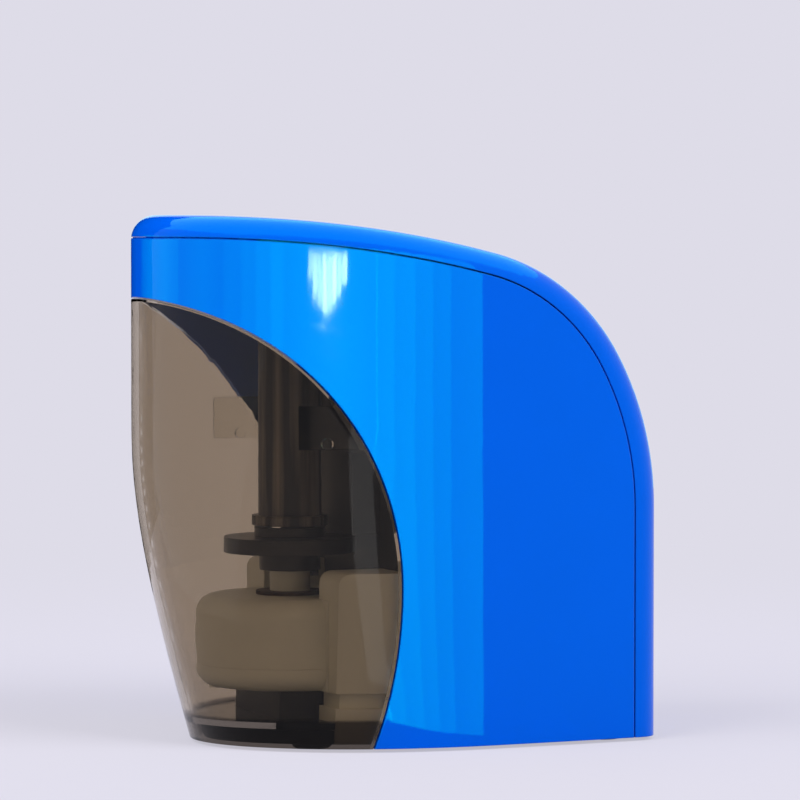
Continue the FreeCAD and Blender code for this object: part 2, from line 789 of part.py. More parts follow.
# ---- gearbox -----------------------------------------------------------------
def gearbox_plan(z0, z1, inset):
    pot = post(0, pencil_y, z0, z1, pot_radius - inset)
    rear = block(gearbox_half_width - inset, pencil_y + inset, gearbox_rear_y - inset, z0, z1)
    return pot, rear


def gearbox_boss_places():
    rear_x = gearbox_half_width - pot_wall - small_boss_radius + fit_run
    rear_boss_y = gearbox_rear_y - pot_wall - small_boss_radius + fit_run
    front_boss_y = pencil_y - pot_radius + pot_wall + small_boss_radius - fit_run
    return [(rear_x, rear_boss_y), (-rear_x, rear_boss_y), (0, front_boss_y)]


def gearbox_wing():
    foot = box(wing_inner_x, half_width, wing_front_y, wing_rear_y, base_top_z, wing_top_z)
    front_top = [e for e in foot.Edges if abs(e.CenterOfMass.y - wing_front_y) < fit_run
                 and abs(e.CenterOfMass.z - wing_top_z) < fit_run]
    step = box(wing_step_x, half_width, wing_front_y, wing_rear_y, base_bottom_z, base_top_z)
    wing = foot.makeFillet(wing_round, front_top).fuse(step).common(body_form(base_inset))
    band = box(wing_inner_x, half_width, wing_front_y, wing_rear_y,
               wing_groove_z, wing_groove_z + wing_groove_height)
    keep = box(wing_inner_x, half_width, wing_front_y + wing_groove_depth, wing_rear_y,
               wing_groove_z, wing_groove_z + wing_groove_height)
    keep = keep.common(body_form(base_inset + wing_groove_depth))
    wing = wing.cut(band.cut(keep))
    screw_top_z = base_bottom_z + small_screw_head + small_screw_length
    hole = post(wing_screw_x, wing_screw_y, base_top_z, screw_top_z, small_screw_radius + fit_run)
    return wing.cut(hole)


def gearbox_housing():
    pot, rear = gearbox_plan(pot_split_z, pot_top_z, 0.0)
    rim = [e for e in pot.Edges if e.CenterOfMass.z > pot_top_z - fit_run]
    pot = pot.makeFillet(pot_round, rim)
    wings = []
    for wing in both_sides(gearbox_wing()):
        room = gearbox_plan(pot_bottom_z - seat_gap, pot_split_z, -seat_gap)
        wings.append(wing.cut(list(room)))
    housing = pot.fuse([rear] + wings)
    ceiling_z = pot_top_z - pot_wall
    housing = housing.cut(list(gearbox_plan(pot_split_z - clear, ceiling_z, pot_wall)))
    pin_boss = post(compound_x, compound_y, small_gear_top_z + clear, ceiling_z, axle_radius + boss_wall)
    bosses = [post(x, y, pot_split_z, ceiling_z, small_boss_radius) for x, y in gearbox_boss_places()]
    housing = housing.fuse([pin_boss] + bosses)
    holes = [
        post(0, pencil_y, ceiling_z, pot_top_z, bush_radius),
        post(0, motor_y, ceiling_z, pot_top_z, motor_boss_radius + seat_gap),
        post(compound_x, compound_y, small_gear_top_z, pot_top_z - pot_wall / 2, axle_radius),
    ]
    screw_top_z = pot_bottom_z + small_screw_head + small_screw_length
    for x, y in gearbox_boss_places():
        holes.append(post(x, y, pot_split_z, screw_top_z, small_screw_radius + fit_run))
    for x in (-motor_screw_spacing / 2, motor_screw_spacing / 2):
        holes.append(post(x, motor_y, ceiling_z, pot_top_z, small_screw_radius + seat_gap))
    for x, y in chassis_screw_places():
        holes.append(post(x, y, chassis_foot_top_z - small_screw_length, pot_top_z,
                          small_screw_radius + fit_run))
    return housing.cut(holes).removeSplitter()


def gearbox_lid():
    pot, rear = gearbox_plan(pot_bottom_z, pot_split_z, 0.0)
    rim = [e for e in pot.Edges if e.CenterOfMass.z < pot_bottom_z + fit_run]
    lid = pot.makeFillet(pot_round, rim).fuse(rear)
    lid = lid.cut(list(gearbox_plan(gear_floor_z, pot_split_z, pot_wall)))
    boss_top_z = big_gear_z - clear
    bosses = [
        post(0, pencil_y, pot_bottom_z, boss_top_z, spindle_radius + boss_wall),
        post(compound_x, compound_y, pot_bottom_z, boss_top_z, axle_radius + boss_wall),
    ]
    bosses += [post(x, y, pot_bottom_z, pot_split_z, small_boss_radius) for x, y in gearbox_boss_places()]
    holes = [
        post(0, pencil_y, pot_bottom_z, boss_top_z, spindle_radius + fit_run),
        post(compound_x, compound_y, pot_bottom_z + pot_wall / 2, boss_top_z, axle_radius),
    ]
    for x, y in gearbox_boss_places():
        holes.append(post(x, y, pot_bottom_z, pot_split_z, small_screw_radius + seat_gap))
        holes.append(post(x, y, pot_bottom_z, pot_bottom_z + small_screw_head,
                          small_screw_head_radius + seat_gap))
    return fuse_all(lid, bosses).cut(holes)


def gearbox_screws():
    return Part.makeCompound([small_screw(x, y, pot_bottom_z, small_screw_length)
                              for x, y in gearbox_boss_places()])


def compound_gear_pin():
    return post(compound_x, compound_y, pot_bottom_z + pot_wall / 2, pot_top_z - pot_wall / 2, axle_radius)


def spindle_bush():
    ceiling_z = pot_top_z - pot_wall
    flange_top_z = pot_top_z + boss_wall / 2
    body = post(0, pencil_y, ceiling_z, flange_top_z, bush_radius)
    flange = post(0, pencil_y, pot_top_z, flange_top_z, bush_radius + boss_wall)
    return body.fuse(flange).cut(post(0, pencil_y, ceiling_z, flange_top_z, neck_radius + fit_run))


# ---- push switch under the cutter --------------------------------------------
def pedestal():
    outer = block(pedestal_half_width, pedestal_front_y, pedestal_rear_y, base_top_z, pot_bottom_z)
    room = block(pedestal_half_width - pedestal_wall, pedestal_front_y + pedestal_wall,
                 pedestal_rear_y - pedestal_wall, base_top_z, pot_bottom_z - pedestal_wall)
    hole = post(0, pencil_y, base_top_z, pot_bottom_z, pin_radius + fit_slide)
    contact_slot = box(0, far_away, contact_y - contact_width / 2 - seat_gap,
                       contact_y + contact_width / 2 + seat_gap,
                       contact_plate_z - leaf_thickness - seat_gap, contact_plate_z + seat_gap)
    wire_door = box(wire_door_x0, wire_door_x1, pedestal_rear_y - 2 * pedestal_wall, pedestal_rear_y,
                    base_top_z, wire_door_z)
    return outer.cut([room, hole, contact_slot, wire_door])


def push_pin():
    stem = post(0, pencil_y, pin_flange_z - pin_tail, pin_top_z, pin_radius)
    flange = post(0, pencil_y, pin_flange_z, pin_flange_z + pin_flange, pin_flange_radius)
    return stem.fuse(flange).removeSplitter()


def coil_spring(x, y, z0, z1, radius0, radius1, wire, turns):
    """Round-wire spring between two seats; the radii are those of its first and last turn."""
    height = z1 - z0 - wire
    quarters = 4 * turns

    def point(number):
        share = number / quarters
        radius = radius0 + (radius1 - radius0) * share
        angle = 2 * math.pi * turns * share
        return Vector(x + radius * math.cos(angle), y + radius * math.sin(angle),
                      z0 + wire / 2 + height * share)

    coil = Part.Wire([Part.Arc(point(n), point(n + 0.5), point(n + 1)).toShape() for n in range(quarters)])
    line = coil.Edges[0]
    start = line.FirstParameter
    ring = Part.Circle(line.valueAt(start), line.tangentAt(start), wire / 2).toShape()
    return coil.makePipeShell([Part.Wire(ring)], True, True)


def return_spring():
    return coil_spring(0, pencil_y, base_top_z, pin_flange_z, spring_radius, spring_radius,
                       spring_wire, spring_turns)


def switch_moving_contact():
    return box(leaf_tip_x, leaf_root_x, pencil_y - leaf_width / 2, pencil_y + leaf_width / 2,
               leaf_bottom_z, leaf_bottom_z + leaf_thickness)


def switch_leaf_terminal():
    inner_x = leaf_root_x + seat_gap
    wall_x = pedestal_half_width - pedestal_wall
    return box(inner_x, wall_x, pencil_y - leaf_width / 2, pencil_y + leaf_width / 2,
               contact_plate_z + 2 * clear, pot_bottom_z - pedestal_wall)


def switch_fixed_contact():
    """Plate below the leaf, a strip through the side wall and an upright tab outside it."""
    low_z = contact_plate_z - leaf_thickness
    rear_y_edge = contact_y + contact_width / 2
    outside_x = pedestal_half_width + seat_gap
    plate = box(leaf_tip_x, contact_turn_x, pencil_y - contact_width, pencil_y + contact_width,
                low_z, contact_plate_z)
    link = box(contact_turn_x - contact_width, contact_turn_x, pencil_y, rear_y_edge, low_z, contact_plate_z)
    strip = box(contact_turn_x - contact_width, outside_x + leaf_thickness,
                contact_y - contact_width / 2, rear_y_edge, low_z, contact_plate_z)
    tab = box(outside_x, outside_x + leaf_thickness, contact_y - contact_width / 2, rear_y_edge,
              base_top_z + seat_gap, contact_top_z)
    return plate.fuse([link, strip, tab]).removeSplitter()


# ---- motor -------------------------------------------------------------------
def motor_outline(z0, z1, trim):
    flat_sided = block(motor_half_width - trim, motor_y - motor_half_depth + trim,
                       motor_y + motor_half_depth - trim, z0, z1)
    return post(0, motor_y, z0, z1, motor_half_width - trim).common(flat_sided)


def motor_shaft_hole():
    return post(0, motor_y, pinion_bottom_z, motor_shaft_top_z + clear, motor_shaft_radius + fit_run)


def motor_screw_places():
    return [(-motor_screw_spacing / 2, motor_y), (motor_screw_spacing / 2, motor_y)]


def motor_can():
    can = motor_outline(motor_bottom_z, motor_can_top_z, 0.0)
    boss = post(0, motor_y, motor_bottom_z - motor_boss, motor_bottom_z, motor_boss_radius)
    holes = [motor_shaft_hole()]
    for x, y in motor_screw_places():
        holes.append(post(x, y, motor_bottom_z, pot_top_z - pot_wall + small_screw_length + seat_gap,
                          small_screw_radius + fit_run))
    return can.fuse(boss).cut(holes).removeSplitter()


def motor_end_cap():
    cap = motor_outline(motor_can_top_z, motor_top_z, motor_cap_trim)
    boss = post(0, motor_y, motor_top_z, motor_top_z + motor_cap_boss, motor_boss_radius)
    slots = [box(x - terminal_width / 2, x + terminal_width / 2, terminal_y,
                 terminal_y + terminal_thickness, motor_top_z - motor_cap_boss, motor_top_z)
             for x in (-terminal_spacing / 2, terminal_spacing / 2)]
    return cap.fuse(boss).cut([motor_shaft_hole()] + slots).removeSplitter()


def motor_terminals():
    tabs = []
    for x in (-terminal_spacing / 2, terminal_spacing / 2):
        tabs.append(box(x - terminal_width / 2, x + terminal_width / 2, terminal_y,
                        terminal_y + terminal_thickness, motor_top_z - motor_cap_boss,
                        motor_top_z + terminal_length))
    return Part.makeCompound(tabs)


def motor_screws():
    head_z = pot_top_z - pot_wall - small_screw_head
    return Part.makeCompound([small_screw(x, y, head_z, small_screw_length)
                              for x, y in motor_screw_places()])


def motor_shaft():
    return post(0, motor_y, pinion_bottom_z - clear, motor_shaft_top_z, motor_shaft_radius)


# ---- chassis -----------------------------------------------------------------
def chassis_screw_places():
    x = gearbox_half_width - pot_wall - small_boss_radius + fit_run
    y = gearbox_rear_y - pot_wall - small_boss_radius + fit_run
    return [(x, y), (-x, y)]


def chassis_screws():
    """Driven down through the feet of the chassis into the gearbox."""
    screws = []
    for x, y in chassis_screw_places():
        upright = screw(x, y, 0, small_screw_length, small_screw_radius, small_screw_head_radius,
                        small_screw_head)
        upright.rotate(Vector(x, y, 0), Vector(1, 0, 0), 180)
        upright.translate(Vector(0, 0, chassis_foot_top_z + small_screw_head))
        screws.append(upright)
    return Part.makeCompound(screws)


def chassis():
    bottom_z = pot_top_z + seat_gap
    room_half = motor_half_width + clear
    low_wall = block(chassis_half_width, chassis_wall_y, chassis_wall_y + chassis_wall, bottom_z, shelf_z)
    hump = block(hump_half_width, chassis_front_y, chassis_wall_y + chassis_wall, hump_bottom_z, shelf_z)
    hump_top = [e for e in hump.Edges if abs(e.CenterOfMass.z - shelf_z) < fit_run
                and abs(abs(e.CenterOfMass.x) - hump_half_width) < fit_run]
    hump = hump.makeFillet(hump_round, hump_top)
    front = block(chassis_half_width, chassis_front_y, chassis_front_y + chassis_wall, shelf_z, chassis_top_z)
    shelf = block(chassis_half_width, chassis_front_y, chassis_rear_y, shelf_z, shelf_z + chassis_wall)
    low_cheek = box(chassis_half_width - chassis_wall, chassis_half_width, chassis_wall_y,
                    chassis_rear_y, bottom_z, shelf_z + chassis_wall)
    high_cheek = box(chassis_half_width - chassis_wall, chassis_half_width, chassis_front_y,
                     chassis_rear_y, shelf_z, chassis_top_z)
    foot = box(chassis_half_width - chassis_foot_width, chassis_half_width,
               chassis_rear_y - chassis_foot_length, chassis_rear_y, bottom_z, chassis_foot_top_z)
    body = low_wall.fuse([hump, front, shelf] + both_sides(low_cheek.fuse([high_cheek, foot])))
    motor_room = block(room_half, motor_y - motor_half_depth - clear, motor_y + motor_half_depth + clear,
                       bottom_z, motor_top_z + terminal_length + clear)
    hump_room = block(hump_half_width - chassis_wall, chassis_front_y + chassis_wall,
                      chassis_wall_y + chassis_wall, hump_bottom_z + chassis_wall, shelf_z - chassis_wall)
    web_slot = block(tube_web / 2 + seat_gap, chassis_front_y, chassis_front_y + chassis_wall,
                     tube_web_bottom_z - seat_gap, tube_web_top_z + seat_gap)
    holes = [post(x, y, bottom_z, chassis_foot_top_z, small_screw_radius + seat_gap)
             for x, y in chassis_screw_places()]
    notch = block(chassis_half_width - chassis_wall, shelf_notch_y, chassis_rear_y,
                  shelf_z, shelf_z + chassis_wall)
    return body.cut([motor_room, hump_room, web_slot, notch] + holes).removeSplitter()


# ---- batteries ---------------------------------------------------------------
def battery_cage():
    cage = block(cage_half_width, cage_front_y, cage_rear_y, base_top_z, cage_top_z)
    lug = post(cage_lug_x, cage_lug_y, base_top_z, base_top_z + cage_lug, cage_lug_radius)
    arm = box(cage_half_width - cage_wall, cage_lug_x, cage_lug_y - cage_lug_radius,
              cage_lug_y + cage_lug_radius, base_top_z, base_top_z + cage_lug)
    hole = post(cage_lug_x, cage_lug_y, base_top_z, base_top_z + cage_lug, small_screw_radius + fit_run)
    room = block(cage_half_width - cage_wall, cage_front_y + cage_wall, cage_rear_y - cage_wall,
                 base_top_z, cage_top_z - cage_wall)
    window = block(cage_window_half, cage_front_y, cage_front_y + cage_wall,
                   cage_window_bottom_z, cage_window_top_z)
    outlets = [box(x - 3 * wire_radius, x + 3 * wire_radius, cage_front_y, cage_front_y + cage_wall,
                   cage_top_z - cage_wall - outlet_height, cage_top_z - cage_wall)
               for x in (-cell_x, cell_x)]
    return cage.fuse(both_sides(lug.fuse(arm).cut(hole))).cut([room, window] + outlets).removeSplitter()


def battery_cell(x, cap_up):
    low_z = cell_floor_z + cell_spring_height
    body = post(x, cell_y, low_z, low_z + cell_length, cell_radius)
    cap = post(x, cell_y, low_z + cell_length, low_z + cell_length + cell_cap, cell_cap_radius)
    cell = body.fuse(cap)
    if not cap_up:
        middle_z = (cell_floor_z + cell_ceiling_z) / 2
        cell = cell.mirror(Vector(0, 0, middle_z), Vector(0, 0, 1))
    return cell


def contact_spring(x, z0, z1):
    return coil_spring(x, cell_y, z0, z1, cell_spring_base, cell_spring_top, cell_spring_wire,
                       cell_spring_turns)


def contact_plate_at(x, z):
    """Battery contact with a narrow solder tab towards the front."""
    pad = box(x - contact_pad, x + contact_pad, cell_y - contact_pad, cell_y + contact_pad,
              z, z + contact_plate)
    tab = box(x - 2 * wire_radius, x + 2 * wire_radius, cage_front_y + cage_wall + clear,
              cell_y, z, z + contact_plate)
    return pad.fuse(tab).removeSplitter()


def battery_positive_plate():
    return contact_plate_at(-cell_x, cell_ceiling_z + seat_gap)


def battery_negative_contact():
    plate_z = cell_ceiling_z + seat_gap
    spring = contact_spring(0, 0, cell_spring_height)
    spring.rotate(Vector(0, cell_y, 0), Vector(1, 0, 0), 180)
    spring.translate(Vector(cell_x, 0, plate_z))
    return Part.makeCompound([contact_plate_at(cell_x, plate_z), spring])


def battery_door():
    front_y_edge = door_front_y + door_gap
    half = door_half_width - door_gap
    plate = block(half, front_y_edge, hinge_y, base_bottom_z, door_top_z)
    barrel = Part.makeCylinder(door_barrel_radius, 2 * half, Vector(-half, hinge_y, hinge_z), Vector(1, 0, 0))
    pin_half = half + door_pin_length
    pin = Part.makeCylinder(door_pin_radius, 2 * pin_half, Vector(-pin_half, hinge_y, hinge_z),
                            Vector(1, 0, 0))
    return plate.fuse([barrel, pin]).removeSplitter()


def door_contact():
    """Bridge that joins the two cells: a spring under one and a flat pad under the other."""
    plate = block(cell_x + contact_pad, cell_y - contact_pad, cell_y + contact_pad,
                  door_top_z, door_top_z + contact_plate)
    top_z = door_top_z + contact_plate
    return Part.makeCompound([plate, contact_spring(-cell_x, top_z, top_z + cell_spring_height)])


# ---- wires inside the casing -------------------------------------------------
def wire_tube(name, points):
    """Round wire along straight runs joined by arcs tangent to both."""
    route = [Vector(*point) for point in points]
    edges = []
    start = route[0]
    length = 0.0
    for before, corner, after in zip(route, route[1:], route[2:]):
        into = (corner - before).normalize()
        out = (after - corner).normalize()
        half_turn = into.getAngle(out) / 2
        reach = 0.45 * min((corner - before).Length, (after - corner).Length)
        radius = reach / math.tan(half_turn)
        first, last = corner - into * reach, corner + out * reach
        centre = corner + (out - into).normalize() * (radius / math.cos(half_turn))
        middle = centre + (corner - centre).normalize() * radius
        edges += [Part.makeLine(start, first), Part.Arc(first, middle, last).toShape()]
        length += (first - start).Length + 2 * half_turn * radius
        start = last
        print(name, "bend radius %.1f" % radius)
    edges.append(Part.makeLine(start, route[-1]))
    length += (route[-1] - start).Length
    direction = (route[1] - route[0]).normalize()
    section = Part.Wire(Part.Circle(route[0], direction, wire_radius).toShape())
    tube = Part.Wire(edges).makePipeShell([section], True, False)
    share = tube.Volume / (math.pi * wire_radius ** 2 * length)
    print(name, "volume over section times length %.4f" % share)
    return tube


def top_contact_wire_z():
    return cell_ceiling_z + seat_gap - wire_radius


def red_wire():
    """Positive battery contact to the left motor terminal."""
    z = top_contact_wire_z()
    x = terminal_spacing / 2
    end_y = terminal_y + terminal_thickness + wire_radius
    return wire_tube("red_wire", [
        (-cell_x, cage_front_y + 4.3, z), (-cell_x, cage_front_y + 0.5, z - 0.1),
        (-x - 1.4, wire_gap_y - 1.8, z - 1.0), (-x - 0.4, wire_gap_y - 4.0, z - 2.8),
        (-x - 0.1, end_y, motor_top_z + terminal_length - 1.1),
    ])


def black_wire():
    """Negative battery contact down behind the gearbox to the fixed switch contact."""
    z = top_contact_wire_z()
    low_z = base_top_z + 2.1
    return wire_tube("black_wire", [
        (cell_x, cage_front_y + 4.3, z), (cell_x + 0.1, cage_front_y + 0.3, z - 0.1),
        (cell_x + 0.9, wire_gap_y - 0.1, z - 2.4), (cell_x + 3.1, wire_gap_y - 0.3, z - 8.6),
        (cell_x + 5.5, wire_gap_y, motor_bottom_z + 9.9), (cell_x + 5.1, wire_gap_y - 0.1, motor_bottom_z),
        (cell_x + 5.4, wire_gap_y, pot_bottom_z + 6.1), (cell_x + 4.3, wire_gap_y - 1.5, pot_bottom_z + 0.1),
        (cell_x + 2.3, motor_y + 3.1, low_z + 0.8), (cell_x + 0.9, motor_y - 3.1, low_z + 0.1),
        (cell_x + 0.1, pedestal_rear_y + 5.0, low_z), (cell_x - 0.3, pedestal_rear_y, low_z - 0.1),
        (cell_x - 0.2, contact_y - contact_width, contact_plate_z + wire_radius),
    ])


def blue_wire():
    """Right motor terminal down behind the gearbox to the moving switch contact."""
    x = terminal_spacing / 2
    start_y = terminal_y + terminal_thickness + wire_radius
    start_z = motor_top_z + terminal_length / 3
    low_z = base_top_z + 3.4
    return wire_tube("blue_wire", [
        (x + 0.1, start_y, start_z), (x + 0.2, wire_gap_y - 4.3, start_z + 3.2),
        (x + 0.6, wire_gap_y - 2.3, start_z + 4.9), (x + 1.3, wire_gap_y - 0.3, start_z + 3.1),
        (x + 1.9, wire_gap_y - 0.1, start_z - 1.4), (x + 2.8, wire_gap_y - 0.1, start_z - 8.0),
        (x + 2.5, wire_gap_y, motor_bottom_z + 8.9), (x + 2.9, wire_gap_y - 0.1, motor_bottom_z - 1.1),
        (x + 2.5, wire_gap_y, pot_bottom_z + 5.3), (x + 1.9, wire_gap_y - 1.7, pot_bottom_z - 0.3),
        (x + 0.7, motor_y + 2.5, low_z - 0.2), (x - 0.2, motor_y - 3.5, low_z),
        (x + 0.8, pedestal_rear_y + 4.8, low_z + 0.3), (x + 2.4, pedestal_rear_y - 0.2, low_z + 0.2),
        (x + 2.7, pencil_y + leaf_width / 2 + seat_gap / 2, leaf_bottom_z + 1.1),
    ])


# ---- all nodes ---------------------------------------------------------------
parts = {
    "main_shell": main_shell(),
    "top_rear_cover": top_rear_cover(),
    "base_plate": base_plate(),
    "rubber_feet": rubber_feet(),
    "casing_screws": casing_screws(),
    "frame_screws": frame_screws(),
    "shavings_tray": shavings_tray(),
    "pencil_entry_ring": pencil_entry_ring(),
    "pencil_guide_tube": pencil_guide_tube(),
    "cutter_head": cutter_head(),
    "cutter_neck": cutter_neck(),
    "cutter_blade": cutter_blade(),
    "blade_screw": blade_screw(),
    "cutter_spindle": cutter_spindle(),
    "spindle_bush": spindle_bush(),
    "output_gear": output_gear(),
    "compound_gear": compound_gear(),
    "compound_gear_pin": compound_gear_pin(),
    "motor_pinion": motor_pinion(),
    "motor_shaft": motor_shaft(),
    "motor_can": motor_can(),
    "motor_end_cap": motor_end_cap(),
    "motor_terminals": motor_terminals(),
    "motor_screws": motor_screws(),
    "gearbox_housing": gearbox_housing(),
    "gearbox_lid": gearbox_lid(),
    "gearbox_screws": gearbox_screws(),
    "chassis": chassis(),
    "chassis_screws": chassis_screws(),
    "pedestal": pedestal(),
    "push_pin": push_pin(),
    "return_spring": return_spring(),
    "switch_moving_contact": switch_moving_contact(),
    "switch_leaf_terminal": switch_leaf_terminal(),
    "switch_fixed_contact": switch_fixed_contact(),
    "battery_cage": battery_cage(),
    "battery_cell_left": battery_cell(-cell_x, True),
    "battery_cell_right": battery_cell(cell_x, False),
    "battery_positive_plate": battery_positive_plate(),
    "battery_negative_contact": battery_negative_contact(),
    "battery_door": battery_door(),
    "door_contact": door_contact(),
    "red_wire": red_wire(),
    "black_wire": black_wire(),
    "blue_wire": blue_wire(),
}

os.makedirs("parts", exist_ok=True)
for name, shape in parts.items():
    save(name, shape)
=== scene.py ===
# %% [markdown]
# # A battery pencil sharpener, dressed for its portrait
# The construction comes from CAD: every piece has its real size and place. Here each piece
# gets the surface that the real one has, a few pieces get finer shapes than the CAD solids
# hold, and a small studio is set up round the sharpener.

# %% Load the frame
import json
import math

import bpy
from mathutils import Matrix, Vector


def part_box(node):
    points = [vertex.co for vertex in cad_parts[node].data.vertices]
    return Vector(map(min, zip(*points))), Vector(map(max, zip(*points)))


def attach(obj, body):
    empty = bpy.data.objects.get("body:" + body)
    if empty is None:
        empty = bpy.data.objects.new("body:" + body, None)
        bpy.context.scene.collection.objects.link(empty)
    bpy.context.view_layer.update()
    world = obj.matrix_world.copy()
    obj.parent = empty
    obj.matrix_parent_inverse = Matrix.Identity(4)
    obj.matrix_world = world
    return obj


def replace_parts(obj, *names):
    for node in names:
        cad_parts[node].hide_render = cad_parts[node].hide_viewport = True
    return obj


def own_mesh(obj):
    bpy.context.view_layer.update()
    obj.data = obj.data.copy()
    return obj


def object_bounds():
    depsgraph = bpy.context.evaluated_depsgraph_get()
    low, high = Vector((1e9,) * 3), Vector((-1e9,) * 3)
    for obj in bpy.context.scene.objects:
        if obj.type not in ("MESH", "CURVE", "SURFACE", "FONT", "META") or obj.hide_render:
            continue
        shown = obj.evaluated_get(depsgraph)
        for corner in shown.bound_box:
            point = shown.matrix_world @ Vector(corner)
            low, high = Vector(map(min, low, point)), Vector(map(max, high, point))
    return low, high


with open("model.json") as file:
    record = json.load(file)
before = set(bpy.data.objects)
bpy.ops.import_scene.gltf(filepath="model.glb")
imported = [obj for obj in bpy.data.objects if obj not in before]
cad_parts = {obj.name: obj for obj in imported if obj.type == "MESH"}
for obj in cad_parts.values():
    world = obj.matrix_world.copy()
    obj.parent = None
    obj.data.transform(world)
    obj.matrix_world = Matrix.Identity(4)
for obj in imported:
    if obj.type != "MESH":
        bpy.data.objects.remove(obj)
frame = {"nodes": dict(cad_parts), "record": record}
cad_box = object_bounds()
nodes = frame["nodes"]
record = frame["record"]
bpy.ops.object.select_all(action="DESELECT")
mm = 0.001
low, high = (Vector(corner) for corner in cad_box)
print("box of the sharpener in mm:", [round(v / mm, 1) for v in high - low])

# %% [markdown]
# ## The camera
# The picture is taken from the right-hand side, turned a little towards the tray, with a
# long lens at the height of the top. The pencil's axis is the natural thing to measure
# from, because the pencil hole is a mount with a known place.

# %% Camera
pencil_hole = next(m for m in record["mounts"] if m["name"] == "pencil_hole")
pencil_axis = Vector((pencil_hole["pos_m"][0], pencil_hole["pos_m"][1], 0))
camera_turn = math.radians(22)
camera_distance = 700 * mm
eye_height = 85 * mm
aim_height = 55.6 * mm
aim_aside = 18 * mm
field_of_view = math.radians(10.67)

towards_camera = Vector((math.cos(camera_turn), -math.sin(camera_turn), 0))
to_the_right = Vector((math.sin(camera_turn), math.cos(camera_turn), 0))
eye = pencil_axis + towards_camera * camera_distance + Vector((0, 0, eye_height))
aim = pencil_axis + to_the_right * aim_aside + Vector((0, 0, aim_height))


def place_looking(obj, place, target):
    obj.location = place
    obj.rotation_euler = (target - place).to_track_quat("-Z", "Y").to_euler()


lens = bpy.data.cameras.new("camera")
lens.angle = field_of_view
lens.clip_start = 10 * mm
camera = bpy.data.objects.new("camera", lens)
bpy.context.scene.collection.objects.link(camera)
place_looking(camera, eye, aim)
bpy.context.scene.camera = camera
print("eye", [round(v, 3) for v in eye], "aim", [round(v, 3) for v in aim])

# %% [markdown]
# ## Colour and one helper for material nodes
# Hex colours are written the way a screen shows them. Shaders work in linear light, so one
# function turns them over. Another small function adds a node to a material, sets its
# sockets and links, and is all that the recipes below need.


# %% Colour and node helpers
def linear(code):
    channels = [int(code[i:i + 2], 16) / 255 for i in (1, 3, 5)]
    turned = [c / 12.92 if c <= 0.04045 else ((c + 0.055) / 1.055) ** 2.4 for c in channels]
    return (*turned, 1.0)


def new_material(name):
    material = bpy.data.materials.new(name)
    material.use_nodes = True
    tree = material.node_tree
    tree.nodes.clear()
    output = tree.nodes.new("ShaderNodeOutputMaterial")
    return material, tree, output


def add(tree, kind, inputs=None, **settings):
    """Adds one node. An input's value is a socket to link from, or a constant."""
    node = tree.nodes.new("ShaderNode" + kind)
    for key, value in settings.items():
        setattr(node, key, value)
    for key, value in (inputs or {}).items():
        if isinstance(value, bpy.types.NodeSocket):
            tree.links.new(value, node.inputs[key])
        else:
            node.inputs[key].default_value = value
    return node


# %% [markdown]
# ## Moulded plastic
# Most pieces are injection moulded. A moulded surface is never quite even: the tool's
# finish leaves a fine grain or a gloss with a slow ripple, the colour drifts by a percent or
# two, and every edge is rounded by a fraction of a millimetre where the melt meets the
# tool's corner. The Bevel node gives that last one without changing a mesh.


# %% Moulded plastic
plastic_ior, styrene_ior = 1.52, 1.57
patch_mm, ripple_mm = 5.0, 22.0      # sizes of the duller patches and of the slow ripple


def spread(tree, value, low_out, high_out, low_in=0.3, high_in=0.7):
    return add(tree, "MapRange", {"Value": value, "From Min": low_in, "From Max": high_in,
                                  "To Min": low_out, "To Max": high_out}).outputs["Result"]


def noise(tree, size_mm, detail=2.0, roughness=0.5):
    """Noise whose lumps are about this many millimetres across."""
    place = add(tree, "TexCoord").outputs["Object"]
    return add(tree, "TexNoise", {"Vector": place, "Scale": 1 / (size_mm * mm), "Detail": detail,
                                  "Roughness": roughness}).outputs["Fac"]


def tinted(tree, code, drift, size_mm):
    """A colour whose value drifts a little over the surface."""
    level = spread(tree, noise(tree, size_mm), 1 - drift, 1 + drift)
    shade = add(tree, "HueSaturation", {"Color": linear(code), "Value": level})
    return shade.outputs["Color"]


def moulded_plastic(name, code, roughness, grain_mm, grain_depth_mm, edge_mm=0.25,
                    drift=0.02, drift_mm=14.0, wear=0.04, specular=0.5, ripple=0.0,
                    reflection="#ffffff"):
    material, tree, output = new_material(name)
    rounded = add(tree, "Bevel", {"Radius": edge_mm * mm}, samples=4).outputs["Normal"]
    grain = add(tree, "Bump", {"Height": noise(tree, grain_mm, 3.0), "Distance": grain_depth_mm * mm,
                               "Strength": 1.0, "Normal": rounded}).outputs["Normal"]
    if ripple:
        grain = add(tree, "Bump", {"Height": noise(tree, ripple_mm, 1.0), "Distance": ripple * mm,
                                   "Strength": 1.0, "Normal": grain}).outputs["Normal"]
    surface = add(tree, "BsdfPrincipled", {
        "Base Color": tinted(tree, code, drift, drift_mm),
        "Roughness": spread(tree, noise(tree, patch_mm, 4.0), roughness - wear, roughness + wear),
        "IOR": plastic_ior, "Specular IOR Level": specular, "Specular Tint": linear(reflection),
        "Normal": grain})
    tree.links.new(surface.outputs[0], output.inputs["Surface"])
    return material


# Polished-mould ABS: a mirror gloss with a slow ripple. Its reflections are tinted cyan for the
# look of this studio. The real plastic's own reflections are white.
blue_gloss_abs = moulded_plastic("gloss_abs_blue", "#005ade", 0.045, 0.9, 0.0005, ripple=0.006,
                                 drift=0.012, wear=0.01, specular=0.42, reflection="#3ce8ff")
# ABS from satin, etched or stoned moulds: soft broad highlights, and a fine grain on the black.
cream_abs = moulded_plastic("satin_abs_cream", "#e2e2d4", 0.42, 0.25, 0.006)
black_abs = moulded_plastic("grained_abs_black", "#232325", 0.5, 0.2, 0.012)
